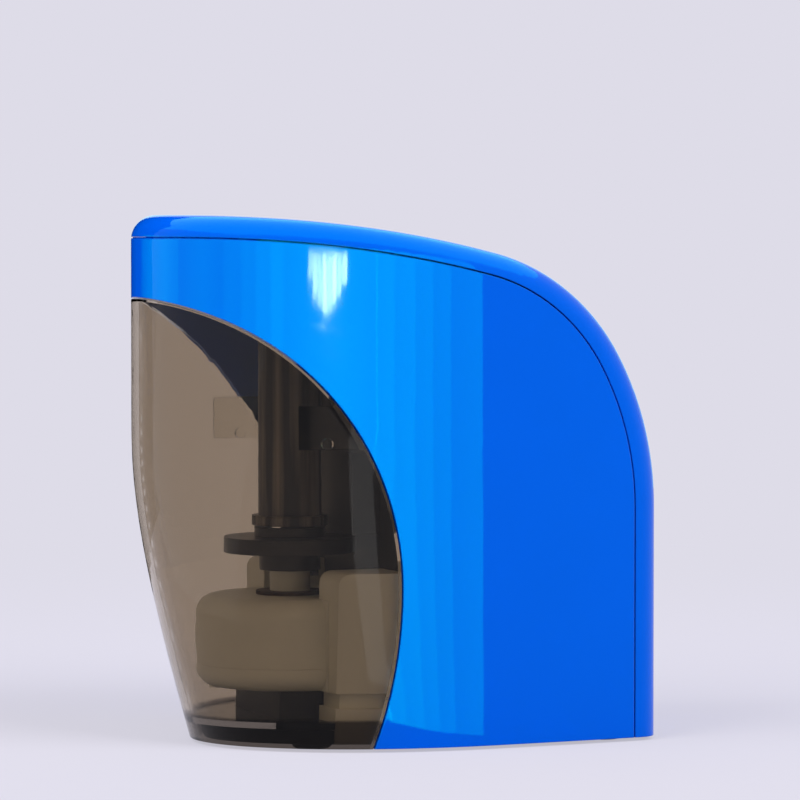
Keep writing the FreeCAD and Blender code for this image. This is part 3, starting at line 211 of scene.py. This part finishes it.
# Filled nylon: dark, with a slightly oily satin.
charcoal_nylon = moulded_plastic("satin_nylon_charcoal", "#201e1d", 0.34, 0.3, 0.004)
grey_abs = moulded_plastic("satin_abs_grey", "#6b7078", 0.45, 0.25, 0.006)
# Natural acetal: milky and slippery, as gears are.
white_acetal = moulded_plastic("natural_acetal", "#dcdad2", 0.38, 0.3, 0.003)
# Moulded rubber: dull all over.
rubber = moulded_plastic("moulded_rubber", "#2a2a2c", 0.72, 0.15, 0.01, wear=0.08)
print("moulded plastics:", blue_gloss_abs.name, "and six more")

# %% [markdown]
# ## A tube with painted highlights
# The guide tube is a long thin-walled moulding in dark glossy nylon. Fine light-coloured streaks
# run along its axis. They are painted highlights that stand in for the lamps' reflections
# running down the glossy wall. Noise squeezed across the axis and drawn out along it
# gives them.


# %% Nylon with painted highlights
# The light-coloured streaks are painted highlights along the tube, not a colour of the nylon itself.
def nylon_with_painted_highlights(name, dark, painted_highlight, across_mm, along_mm):
    material, tree, output = new_material(name)
    place = add(tree, "TexCoord").outputs["Object"]
    drawn = add(tree, "Mapping", {"Vector": place, "Scale": (1, 1, across_mm / along_mm)}).outputs[0]
    streak = add(tree, "TexNoise", {"Vector": drawn, "Scale": 1 / (across_mm * mm), "Detail": 3.0})
    share = spread(tree, streak.outputs["Fac"], 0.0, 1.0, 0.42, 0.7)
    colour = add(tree, "Mix", {"Factor": share, 6: linear(dark), 7: linear(painted_highlight)}, data_type="RGBA")
    rounded = add(tree, "Bevel", {"Radius": 0.2 * mm}, samples=4).outputs["Normal"]
    surface = add(tree, "BsdfPrincipled", {
        "Base Color": colour.outputs[2], "Roughness": spread(tree, share, 0.45, 0.3), "Normal": rounded})
    tree.links.new(surface.outputs[0], output.inputs["Surface"])
    return material


# A dark base, with painted highlight streaks along the axis.
tube_nylon = nylon_with_painted_highlights("charcoal_nylon_painted_highlights", "#1f1c1a", "#8f8578", 2.2, 60.0)
print("tube:", tube_nylon.name)

# %% [markdown]
# ## Clear smoke plastic
# The tray is moulded in clear polystyrene with a smoke tint. Light is bent by both faces of
# the wall and filtered on its way through. Shadow rays can't be bent, so for them alone the
# wall counts as a filter, or everything inside the tray would sit in the dark.


# %% Clear smoke plastic
floor_from, floor_to = 4.9 * mm, 5.3 * mm    # heights between which the deep tint gives way
wave_mm, wave_depth = 14.0, 0.004 * mm


def clear_smoke(name, tint, shadow_tint, deep_tint, roughness):
    """Below the tray's floor the wall is seen lengthwise and end on, so it filters more there."""
    material, tree, output = new_material(name)
    place = add(tree, "TexCoord").outputs["Object"]
    height = add(tree, "SeparateXYZ", {0: place}).outputs["Z"]
    raised = spread(tree, height, 0.0, 1.0, floor_from, floor_to)
    colour = add(tree, "Mix", {"Factor": raised, 6: linear(deep_tint), 7: linear(tint)}, data_type="RGBA")
    wave = add(tree, "Bump", {"Height": noise(tree, wave_mm, 1.0), "Distance": wave_depth,
                              "Strength": 1.0}).outputs["Normal"]
    clear = add(tree, "BsdfPrincipled", {
        "Base Color": colour.outputs[2], "Roughness": roughness, "IOR": styrene_ior,
        "Specular Tint": linear("#8c8c8c"),
        "Transmission Weight": 1.0, "Normal": wave}).outputs[0]
    veil = add(tree, "BsdfTransparent", {"Color": linear(shadow_tint)}).outputs[0]
    shadow = add(tree, "LightPath").outputs["Is Shadow Ray"]
    mixed = add(tree, "MixShader", {0: shadow, 1: clear, 2: veil})
    tree.links.new(mixed.outputs[0], output.inputs["Surface"])
    return material


smoke = clear_smoke("clear_polystyrene_smoke", "#c6baa9", "#a59b8f", "#6b6259", 0.03)
print("tray:", smoke.name)

# %% [markdown]
# ## Metals
# Small metal pieces are drawn, turned or stamped, and plated. What the eye reads is the
# fine lines that the tool left, so the roughness follows stretched noise.


# %% Metals
def worked_metal(name, code, roughness, stretch=(1, 1, 12), line_mm=0.6, edge_mm=0.12):
    material, tree, output = new_material(name)
    place = add(tree, "TexCoord").outputs["Object"]
    turned = add(tree, "Mapping", {"Vector": place, "Scale": stretch}).outputs["Vector"]
    lines = add(tree, "TexNoise", {"Vector": turned, "Scale": 1 / (line_mm * mm), "Detail": 3.0})
    rounded = add(tree, "Bevel", {"Radius": edge_mm * mm}, samples=4).outputs["Normal"]
    bump = add(tree, "Bump", {"Height": lines.outputs["Fac"], "Distance": 0.003 * mm,
                              "Strength": 1.0, "Normal": rounded}).outputs["Normal"]
    surface = add(tree, "BsdfPrincipled", {
        "Base Color": tinted(tree, code, 0.05, 3.0), "Metallic": 1.0,
        "Roughness": spread(tree, lines.outputs["Fac"], roughness - 0.06, roughness + 0.08),
        "Normal": bump})
    tree.links.new(surface.outputs[0], output.inputs["Surface"])
    return material


# Zinc plate is grey and a little dull. Ground steel and nickel plate are brighter. Stamped
# brass is warm, and oiled sintered bronze is dark and porous, with no direction in its lines.
zinc_screw = worked_metal("zinc_plated_steel", "#b4b6b8", 0.32)
ground_steel = worked_metal("ground_steel", "#c3c5c8", 0.2, stretch=(1, 14, 1))
nickel_steel = worked_metal("nickel_plated_steel", "#c0beb6", 0.26)
contact_brass = worked_metal("stamped_brass", "#d8b25e", 0.3)
sintered_bronze = worked_metal("oiled_sintered_bronze", "#5d4a36", 0.6, stretch=(1, 1, 1), line_mm=0.3)
print("metals: zinc, ground steel, nickel, brass, bronze")

# %% [markdown]
# ## Wire and cell jackets
# Wires have a soft extruded jacket with a low gloss. A cell has a printed film round it,
# plain here apart from a band in a second colour that shows which end is positive.


# %% Wire and cell jackets
def extruded_jacket(name, code):
    return moulded_plastic(name, code, 0.36, 0.5, 0.004, edge_mm=0.05, drift=0.03, drift_mm=6.0)


red_jacket = extruded_jacket("pvc_jacket_red", "#b3202a")
black_jacket = extruded_jacket("pvc_jacket_black", "#1c1c1e")
blue_jacket = extruded_jacket("pvc_jacket_blue", "#2350a8")
film_green = moulded_plastic("printed_film_green", "#2f6f52", 0.25, 0.8, 0.002, drift=0.02)
print("jackets: red, black, blue; film:", film_green.name)

# %% Give each CAD piece its finish
finishes = {
    "main_shell": blue_gloss_abs, "top_rear_cover": blue_gloss_abs,
    "shavings_tray": smoke, "pencil_entry_ring": black_abs, "pencil_guide_tube": tube_nylon,
    "base_plate": black_abs, "battery_door": black_abs, "rubber_feet": rubber,
    "gearbox_housing": cream_abs, "gearbox_lid": cream_abs,
    "chassis": black_abs, "pedestal": black_abs, "battery_cage": grey_abs,
    "cutter_head": charcoal_nylon, "cutter_neck": cream_abs,
    "output_gear": white_acetal, "compound_gear": white_acetal, "push_pin": white_acetal,
    "motor_end_cap": white_acetal, "motor_can": nickel_steel, "motor_pinion": contact_brass,
    "motor_shaft": ground_steel, "cutter_spindle": ground_steel, "compound_gear_pin": ground_steel,
    "cutter_blade": ground_steel, "spindle_bush": sintered_bronze,
    "return_spring": nickel_steel, "battery_positive_plate": nickel_steel,
    "battery_negative_contact": nickel_steel, "door_contact": nickel_steel,
    "switch_moving_contact": contact_brass, "switch_leaf_terminal": contact_brass,
    "switch_fixed_contact": contact_brass, "motor_terminals": contact_brass,
    "battery_cell_left": film_green, "battery_cell_right": film_green,
    "red_wire": red_jacket, "black_wire": black_jacket, "blue_wire": blue_jacket,
}
for name, piece in nodes.items():
    finish = finishes.get(name, zinc_screw)
    piece.data.materials.clear()
    piece.data.materials.append(finish)
print("pieces with a finish:", len(nodes))

# %% [markdown]
# ## The battery cells
# An AA cell is a steel can in a shrunk plastic film. The film rolls over both shoulders, the
# negative end is a bare disc, and the positive cap stands out of an insulating ring. All of
# it is round, so it is turned up from one circle: extruded, then scaled, step by step.


# %% A turned piece
def select_only(piece):
    bpy.ops.object.select_all(action="DESELECT")
    piece.select_set(True)
    bpy.context.view_layer.objects.active = piece


def turned(name, x, y, profile, vertices=64):
    """A round solid from (radius, height) steps in mm. The heights may run up or down."""
    bpy.ops.object.select_all(action="DESELECT")
    bpy.ops.mesh.primitive_circle_add(vertices=vertices, radius=profile[0][0] * mm, fill_type="NGON",
                                      location=(x, y, profile[0][1] * mm))
    piece = bpy.context.object
    piece.name = piece.data.name = name
    bpy.ops.object.mode_set(mode="EDIT")
    bpy.ops.mesh.select_all(action="SELECT")
    for (radius, height), (next_radius, next_height) in zip(profile, profile[1:]):
        bpy.ops.mesh.extrude_region_move(
            TRANSFORM_OT_translate={"value": (0, 0, (next_height - height) * mm)})
        ratio = next_radius / radius
        bpy.ops.transform.resize(value=(ratio, ratio, 1), center_override=(x, y, next_height * mm))
    bpy.ops.mesh.select_all(action="SELECT")
    bpy.ops.mesh.normals_make_consistent(inside=False)
    bpy.ops.object.mode_set(mode="OBJECT")
    finish_mesh(piece)
    return piece


def finish_mesh(piece, angle=35):
    select_only(piece)
    bpy.ops.object.transform_apply(location=True, rotation=True, scale=True)
    bpy.ops.object.shade_smooth_by_angle(angle=math.radians(angle))
    bpy.ops.object.select_all(action="DESELECT")


# %% Cells in their film
film_copper = moulded_plastic("printed_film_copper", "#b9793f", 0.22, 0.8, 0.002, drift=0.02)
insulator = moulded_plastic("fibre_ring_white", "#cfccc4", 0.7, 0.3, 0.006)
disc, recess, roll = 4.8, 0.15, 6.6    # negative end: bare disc, its depth, where the film ends
ring, sunk, cap = 6.1, 1.5, 2.75       # positive end: insulating ring, its depth, cap
band = 13.0                            # length of the band at the positive end, all in mm
for side in ("left", "right"):
    node = "battery_cell_" + side
    corner_low, corner_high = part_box(node)
    middle = (corner_low + corner_high) / 2
    radius = (corner_high.x - corner_low.x) / 2 / mm
    ends = [max(math.hypot(v.co.x - middle.x, v.co.y - middle.y) for v in nodes[node].data.vertices
                if abs(v.co.z - end) < 0.1 * mm) for end in (corner_low.z, corner_high.z)]
    cap_up = ends[1] < ends[0]
    start, way = (corner_low.z, 1) if cap_up else (corner_high.z, -1)
    length = (corner_high.z - corner_low.z) / mm
    profile = [(disc, 0), (disc + 0.2, recess), (roll - 0.2, recess), (roll, 0),
               (radius - 0.15, 0.1), (radius, 0.5), (radius, length - band),
               (radius, length - band + 0.1), (radius, length - 1.7), (radius - 0.2, length - 1.3),
               (ring + 0.2, length - 1.2), (ring, length - sunk), (cap + 0.35, length - sunk),
               (cap + 0.15, length - 1.3), (cap, length - 0.3), (cap - 0.25, length)]
    cell = turned("cell_" + side, middle.x, middle.y, [(r, start / mm + way * h) for r, h in profile])
    for finish in (film_green, film_copper, nickel_steel, insulator):
        cell.data.materials.append(finish)
    for face in cell.data.polygons:
        along = (face.center.z - start) * way / mm
        reach = max(math.hypot(cell.data.vertices[i].co.x - middle.x,
                               cell.data.vertices[i].co.y - middle.y) for i in face.vertices) / mm
        if along > length - band + 0.05 and reach > ring + 0.1:
            face.material_index = 1
        elif reach < cap + 0.45 or (along < 1 and reach < roll - 0.1):
            face.material_index = 2
        elif reach < ring + 0.1:
            face.material_index = 3
    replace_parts(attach(cell, "casing"), node)
    print(cell.name, "cap up" if cap_up else "cap down", "faces", len(cell.data.polygons))

# %% [markdown]
# ## The seam at the nose
# The cover sits on the shell with a hair's gap. At the nose the light behind would shine
# through that gap, where the real moulding has a step inside the wall. The top slice of the
# shell's own wall, copied, drawn in by a few tenths of a millimetre and lifted, is that step.


# %% A step inside the seam
def copy_of(node, name):
    piece = nodes[node].copy()
    piece.data = nodes[node].data.copy()
    piece.name = piece.data.name = name
    bpy.context.scene.collection.objects.link(piece)
    select_only(piece)
    bpy.ops.object.mode_set(mode="EDIT")
    bpy.ops.mesh.select_all(action="SELECT")
    bpy.ops.mesh.remove_doubles(threshold=0.001 * mm)
    return piece


def cut_away(place, direction):
    bpy.ops.mesh.select_all(action="SELECT")
    bpy.ops.mesh.bisect(plane_co=place, plane_no=direction, use_fill=True, clear_outer=True)


step_reach, step_height, step_lift = 14 * mm, 5 * mm, 0.2 * mm
step_share = (0.975, 0.99, 1)    # how far it is drawn in, towards the pencil's axis
seam_step = copy_of("main_shell", "seam_step")
cut_away((0, low.y + step_reach, 0), (0, 1, 0))
cut_away((0, 0, high.z - step_height), (0, 0, -1))
bpy.ops.mesh.select_all(action="SELECT")
bpy.ops.transform.resize(value=step_share, center_override=(0, pencil_axis.y, 0))
bpy.ops.transform.translate(value=(0, 0, step_lift))
bpy.ops.object.mode_set(mode="OBJECT")
finish_mesh(seam_step)
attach(seam_step, "casing")
print("seam step faces:", len(seam_step.data.polygons))

# %% [markdown]
# ## Rubber feet
# A stick-on foot is cut from moulded rubber with a flat sole and a soft shoulder, so its
# edge turns up off the table. The same turning recipe makes one, and it is copied to the
# four places that the CAD feet have.

# %% Feet
islands = {}
for vertex in nodes["rubber_feet"].data.vertices:
    quadrant = (vertex.co.x > 0, vertex.co.y > (low.y + high.y) / 2)
    islands.setdefault(quadrant, []).append(vertex.co.copy())
foot_top = max(v.co.z for v in nodes["rubber_feet"].data.vertices) / mm
feet = []
for number, corners in enumerate(islands.values(), 1):
    x, y = ((min(c[axis] for c in corners) + max(c[axis] for c in corners)) / 2 for axis in (0, 1))
    radius = (max(c.x for c in corners) - min(c.x for c in corners)) / 2 / mm
    shoulder = [(radius - 1.0, 0), (radius - 0.5, 0.06), (radius - 0.15, 0.28), (radius, 0.6)]
    foot = turned(f"foot_{number}", x, y, shoulder + [(radius, foot_top)], 48)
    foot.data.materials.append(rubber)
    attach(foot, "casing")
    feet.append(foot)
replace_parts(feet[0], "rubber_feet")
print("feet:", len(feet), "radius", round(radius, 2), "mm")

# %% [markdown]
# ## The cutter's blade
# A sharpener's blade is a small plate of hardened steel, ground to an edge on one long
# side. The CAD plate has the right size and hole, so a copy of it is merged and one slanted
# cut takes the corner off, which leaves the bright ground facet.

# %% Ground edge
rim_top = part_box("cutter_head")[1].z
facet_x, facet_facing = -4.25 * mm, (-0.869, -0.447, -0.209)    # a place on the facet, its outward way
blade = copy_of("cutter_blade", "ground_blade")
cut_away((facet_x, pencil_axis.y, rim_top), facet_facing)
bpy.ops.object.mode_set(mode="OBJECT")
finish_mesh(blade, 20)
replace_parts(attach(blade, "cutter"), "cutter_blade")
print("blade faces:", len(blade.data.polygons))

# %% [markdown]
# ## The return spring
# The spring pushes the cutter up, and shortens when a pencil pushes it down. The CAD coil
# is rigid, so a copy of it stands in.

# %% A copy of the spring
spring = copy_of("return_spring", "float_spring")
bpy.ops.object.mode_set(mode="OBJECT")
finish_mesh(spring)
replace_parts(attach(spring, "casing"), "return_spring")
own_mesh(spring)

# %% [markdown]
# ## Grip ribs and an arrow on the battery door
# The door is pushed with a thumb, so it has a few raised ribs and an arrow that points the
# way it opens. Each rib starts as a flat block and is bevelled all round, like the moulded
# ribs that have to slip out of a steel tool.


# %% Ribs and arrow
def raised_bar(name, x, y, z, length, width, height):
    bpy.ops.object.select_all(action="DESELECT")
    bpy.ops.mesh.primitive_cube_add(size=1, location=(x, y, z))
    bar = bpy.context.object
    bar.name = bar.data.name = name
    bar.dimensions = (length, width, height)
    finish_mesh(bar)
    bpy.context.view_layer.objects.active = bar
    edge = bar.modifiers.new("edge", "BEVEL")
    edge.width, edge.segments = height * 0.45, 3
    select_only(bar)
    bpy.ops.object.modifier_apply(modifier=edge.name)
    finish_mesh(bar)
    return bar


door_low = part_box("battery_door")[0]
rib_pitch, rib_height, rib_length, rib_width = 1.8 * mm, 0.5 * mm, 14 * mm, 0.8 * mm
rib_inset, arrow_inset, arrow_radius = 3 * mm, 10.7 * mm, 1.8 * mm
door_details = [raised_bar(f"door_rib_{n + 1}", 0, door_low.y + rib_inset + n * rib_pitch, door_low.z,
                           rib_length, rib_width, rib_height) for n in range(4)]
bpy.ops.object.select_all(action="DESELECT")
bpy.ops.mesh.primitive_circle_add(vertices=3, radius=arrow_radius, fill_type="NGON",
                                  location=(0, door_low.y + arrow_inset, door_low.z - rib_height / 2))
arrow = bpy.context.object
arrow.name = arrow.data.name = "door_arrow"
bpy.ops.object.mode_set(mode="EDIT")
bpy.ops.mesh.select_all(action="SELECT")
bpy.ops.mesh.extrude_region_move(TRANSFORM_OT_translate={"value": (0, 0, rib_height)})
bpy.ops.mesh.select_all(action="SELECT")
bpy.ops.mesh.normals_make_consistent(inside=False)
bpy.ops.mesh.bevel(offset=0.15 * mm, segments=2)
bpy.ops.object.mode_set(mode="OBJECT")
finish_mesh(arrow)
for detail in door_details + [arrow]:
    detail.data.materials.append(black_abs)
    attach(detail, "battery_door_body")
print("details on the door:", len(door_details) + 1)

# %% [markdown]
# ## The thick places of the clear latches
# A clear tinted moulding looks darker where it is thicker. The latch pads of the tray are
# double walls, and a thin clear plate on the inner face of each one filters the light once
# more, as the extra thickness does.

# %% Latch plates
smoke_plate = clear_smoke("clear_polystyrene_pad", "#f2f0e9", "#f2f0e9", "#f2f0e9", 0.03)
plate_x, plate_aside, plate_z = 19.02 * mm, 1.95 * mm, 52 * mm
plate_thick, plate_long, plate_high = 0.12 * mm, 16.2 * mm, 6.8 * mm
for side, way in (("left", -1), ("right", 1)):
    plate = raised_bar("latch_plate_" + side, way * plate_x, pencil_axis.y + plate_aside, plate_z,
                       plate_thick, plate_long, plate_high)
    plate.data.materials.append(smoke_plate)
    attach(plate, "shavings_tray_body")
print("latch plates: 2")

# %% [markdown]
# ## The floor
# The sharpener stands on a wide sheet of pale matt card, which takes its shadow. Far from
# the sharpener no lamp reaches the card, and it would turn grey and show a horizon. So
# what the camera, glass and gloss see of it goes over, with the distance, to its own even
# colour, which the room behind has too.


# %% Floor
card_colour = "#dedce8"
fade_from, fade_to, card_size = 110 * mm, 420 * mm, 12.0


def sum_of(tree, *sockets):
    total = sockets[0]
    for socket in sockets[1:]:
        total = add(tree, "Math", {0: total, 1: socket}, operation="ADD", use_clamp=True).outputs[0]
    return total


def pale_card(name, lit_code, near, far, near_share):
    material, tree, output = new_material(name)
    path = add(tree, "LightPath").outputs
    seen = sum_of(tree, path["Is Camera Ray"], path["Is Glossy Ray"], path["Is Transmission Ray"])
    place = add(tree, "TexCoord").outputs["Object"]
    distance = add(tree, "VectorMath", {0: place}, operation="LENGTH").outputs["Value"]
    share = add(tree, "MapRange", {"Value": distance, "From Min": near, "From Max": far,
                                   "To Min": near_share, "To Max": 1.0},
                interpolation_type="SMOOTHSTEP").outputs["Result"]
    share = add(tree, "Math", {0: share, 1: seen}, operation="MULTIPLY").outputs[0]
    fibre = tinted(tree, lit_code, 0.006, 3.0)
    matt = add(tree, "BsdfDiffuse", {"Color": fibre, "Roughness": 1.0}).outputs[0]
    even = add(tree, "Emission", {"Color": linear(card_colour), "Strength": 1.0}).outputs[0]
    mixed = add(tree, "MixShader", {0: share, 1: matt, 2: even})
    tree.links.new(mixed.outputs[0], output.inputs["Surface"])
    return material


bpy.ops.mesh.primitive_plane_add(size=card_size, location=(0, 0, 0))
floor = bpy.context.object
floor.name = "floor"
floor.data.materials.append(pale_card("matt_card", "#c9c7d2", fade_from, fade_to, 0.65))
print("floor:", floor.data.materials[0].name)

# %% [markdown]
# ## The lamps
# Upright glossy walls mirror what stands level with them, and there the room is dim, so
# that the colours stay deep and the clear tray can be seen through. The soft boxes hang
# above, in front, at the side and behind, and don't show in gloss themselves.


# %% Lamps
centre = (low + high) / 2


def lamp_at(name, place, target, width, height, brightness, colour=(1, 1, 1)):
    """A lit face. Its brightness is what a mirror image of it shows."""
    lamp = bpy.data.lights.new(name, "AREA")
    lamp.shape = "RECTANGLE"
    lamp.size, lamp.size_y = width, height
    lamp.energy = brightness * math.pi * width * height
    lamp.color = colour
    box = bpy.data.objects.new(name, lamp)
    bpy.context.scene.collection.objects.link(box)
    place_looking(box, place, target)
    box.visible_camera = box.visible_transmission = False
    return box


def towards(azimuth, elevation=0.0):
    turn, rise = math.radians(azimuth), math.radians(elevation)
    return Vector((math.cos(turn) * math.cos(rise), math.sin(turn) * math.cos(rise), math.sin(rise)))


# name, azimuth and elevation in degrees, distance, width and height in metres, brightness
for name, azimuth, elevation, distance, width, height, brightness in (
        ("key", -75, 40, 0.9, 0.8, 0.6, 3.2),
        ("front", -115, 45, 1.0, 0.6, 0.6, 1.6),
        ("side", 32, 40, 1.0, 0.7, 0.6, 5.2),
        ("rear", 165, 45, 1.0, 0.8, 0.6, 2.0)):
    soft_box = lamp_at(name, centre + towards(azimuth, elevation) * distance, centre, width, height,
                       brightness)
    soft_box.visible_glossy = False
    print("soft box:", name)

# %% [markdown]
# ## What the gloss shows
# On a gloss moulding the reflections draw the form. A row of lit panels stands close round
# the nose, and the blue shells alone mirror them: brightest where the nose turns into the
# side, and dimmer by steps both ways. They end with an upright edge on the flat side. A
# small bright pane hangs further off, and narrows downwards. All are seen only as
# reflections and light nothing. The panels are cyan. The pane is orange-red, against the
# cyan tint of the shells' reflections, and so bright that it shows as a nearly white glint.


# %% Panels round the nose
shells = bpy.data.collections.new("shells")
for name in ("main_shell", "top_rear_cover"):
    shells.objects.link(nodes[name])
nose_centre = Vector((0, pencil_axis.y, 0))


def gloss_lamp(name, place, target, width, height, brightness, colour, spread_angle=180):
    lamp = lamp_at(name, place, target, width, height, brightness, colour)
    lamp.data.spread = math.radians(spread_angle)
    lamp.visible_diffuse = False
    lamp.light_linking.receiver_collection = shells


cyan = (0.0, 1.0, 0.86)


def panels_round(name, distance, foot, top, steps, last):
    ends = [azimuth for azimuth, _ in steps[1:]] + [last]
    for number, ((start, brightness), end) in enumerate(zip(steps, ends), 1):
        facing = towards((start + end) / 2)
        width = 2 * distance * math.tan(math.radians(end - start) / 2)
        place = nose_centre + facing * distance + Vector((0, 0, (top + foot) / 2))
        gloss_lamp(f"{name}_{number}", place, place - facing, width, top - foot,
                   brightness * grid_level, cyan, grid_angle)
    print(name, "panels:", len(steps))


panel_distance = 50 * mm
grid_angle, grid_level = 90, 0.235    # a grid over the panels keeps them out of the flat sides
panels_round("nose", panel_distance, 0.3 * mm, 90 * mm, (
    (-120, 3.8), (-76, 2.9), (-50, 3.2), (-42, 4.0), (-36, 5.0), (-30, 6.2), (-25, 7.2), (5.7, 7.1),
    (11, 6.4), (17, 5.5), (22, 4.6), (27, 3.5)), 35.2)

# %% Panels above and behind, for the rounded top edge
above, wide = Vector((0, 0, 400 * mm)), 800 * mm
gloss_lamp("panel_above", above, Vector(), wide, wide, 1.8, cyan)
behind = towards(158) * 450 * mm + Vector((0, 0, 160 * mm))
gloss_lamp("panel_behind", behind, centre, 900 * mm, 300 * mm, 0.4, cyan)
print("panels above and behind: 2")

# %% A black flag on the far side of the nose
# It keeps the pale room out of the gloss there, as a studio flag does. Black velvet takes in
# nearly all the light, so the gloss stays deep.
flag_facing = towards(-148)
flag_width, flag_height, flag_distance, flag_middle = 190 * mm, 240 * mm, 130 * mm, 125 * mm
bpy.ops.mesh.primitive_plane_add(size=1, location=(0, 0, 0))
flag = bpy.context.object
flag.name = "black_flag"
flag.scale = (flag_width, flag_height, 1)
place_looking(flag, nose_centre + flag_facing * flag_distance + Vector((0, 0, flag_middle)),
              nose_centre + Vector((0, 0, flag_middle)))
velvet, velvet_tree, velvet_output = new_material("black_velvet")
black = add(velvet_tree, "BsdfDiffuse", {"Color": linear("#050505")}).outputs[0]
velvet_tree.links.new(black, velvet_output.inputs["Surface"])
flag.data.materials.append(velvet)
flag.visible_camera = flag.visible_diffuse = flag.visible_transmission = flag.visible_shadow = False
print("flag:", velvet.name)

# %% The pane, in slats that hang to different depths
pane_facing, pane_aside = towards(-12), towards(78)
pane_distance, pane_shift, pane_top = 330 * mm, -15.5 * mm, 78 * mm
slat_width, slat_pitch = 7 * mm, 7.8 * mm
pane_colour = (1.0, 0.085, 0.02)
slats = ((7, 240), (11, 350), (13, 290), (15, 440), (14, 330), (12.5, 460), (11, 310), (8, 370))
for number, (length, brightness) in enumerate(slats):
    aside = pane_shift + (number - (len(slats) - 1) / 2) * slat_pitch
    place = pane_facing * pane_distance + pane_aside * aside
    place.z = pane_top - length * mm / 2
    gloss_lamp(f"slat_{number + 1}", place, place - pane_facing, slat_width, length * mm, brightness,
               pane_colour)
print("slats:", len(slats))

# %% Two faint panels that only the clear tray mirrors
clear_pieces = bpy.data.collections.new("clear_pieces")
clear_pieces.objects.link(nodes["shavings_tray"])
sheet_distance = 75 * mm
# name, azimuth and roll in degrees, width, height and foot in mm, brightness
for name, azimuth, roll, width, height, foot, brightness in (
        ("tray_streak", -1, 0, 9, 60, 2, 1.6), ("tray_sheet", -68, -32, 90, 160, -20, 0.5)):
    facing = towards(azimuth)
    place = nose_centre + facing * sheet_distance + Vector((0, 0, (foot + height / 2) * mm))
    sheet = lamp_at(name, place, place - facing, width * mm, height * mm, brightness)
    sheet.rotation_euler.rotate_axis("Z", math.radians(roll))
    sheet.visible_diffuse = False
    sheet.light_linking.receiver_collection = clear_pieces
    print("tray panel:", name)

# %% The room
world = bpy.data.worlds.new("studio")
bpy.context.scene.world = world
world.use_nodes = True
room = world.node_tree
path = add(room, "LightPath").outputs
seen = sum_of(room, path["Is Camera Ray"], path["Is Glossy Ray"], path["Is Transmission Ray"])
level = add(room, "Math", {0: seen, 1: 0.5, 2: 0.5}, operation="MULTIPLY_ADD").outputs[0]
background = room.nodes["Background"]
background.inputs["Color"].default_value = linear(card_colour)
room.links.new(level, background.inputs["Strength"])
bpy.context.scene.view_settings.view_transform = "Standard"
print("room:", world.name)
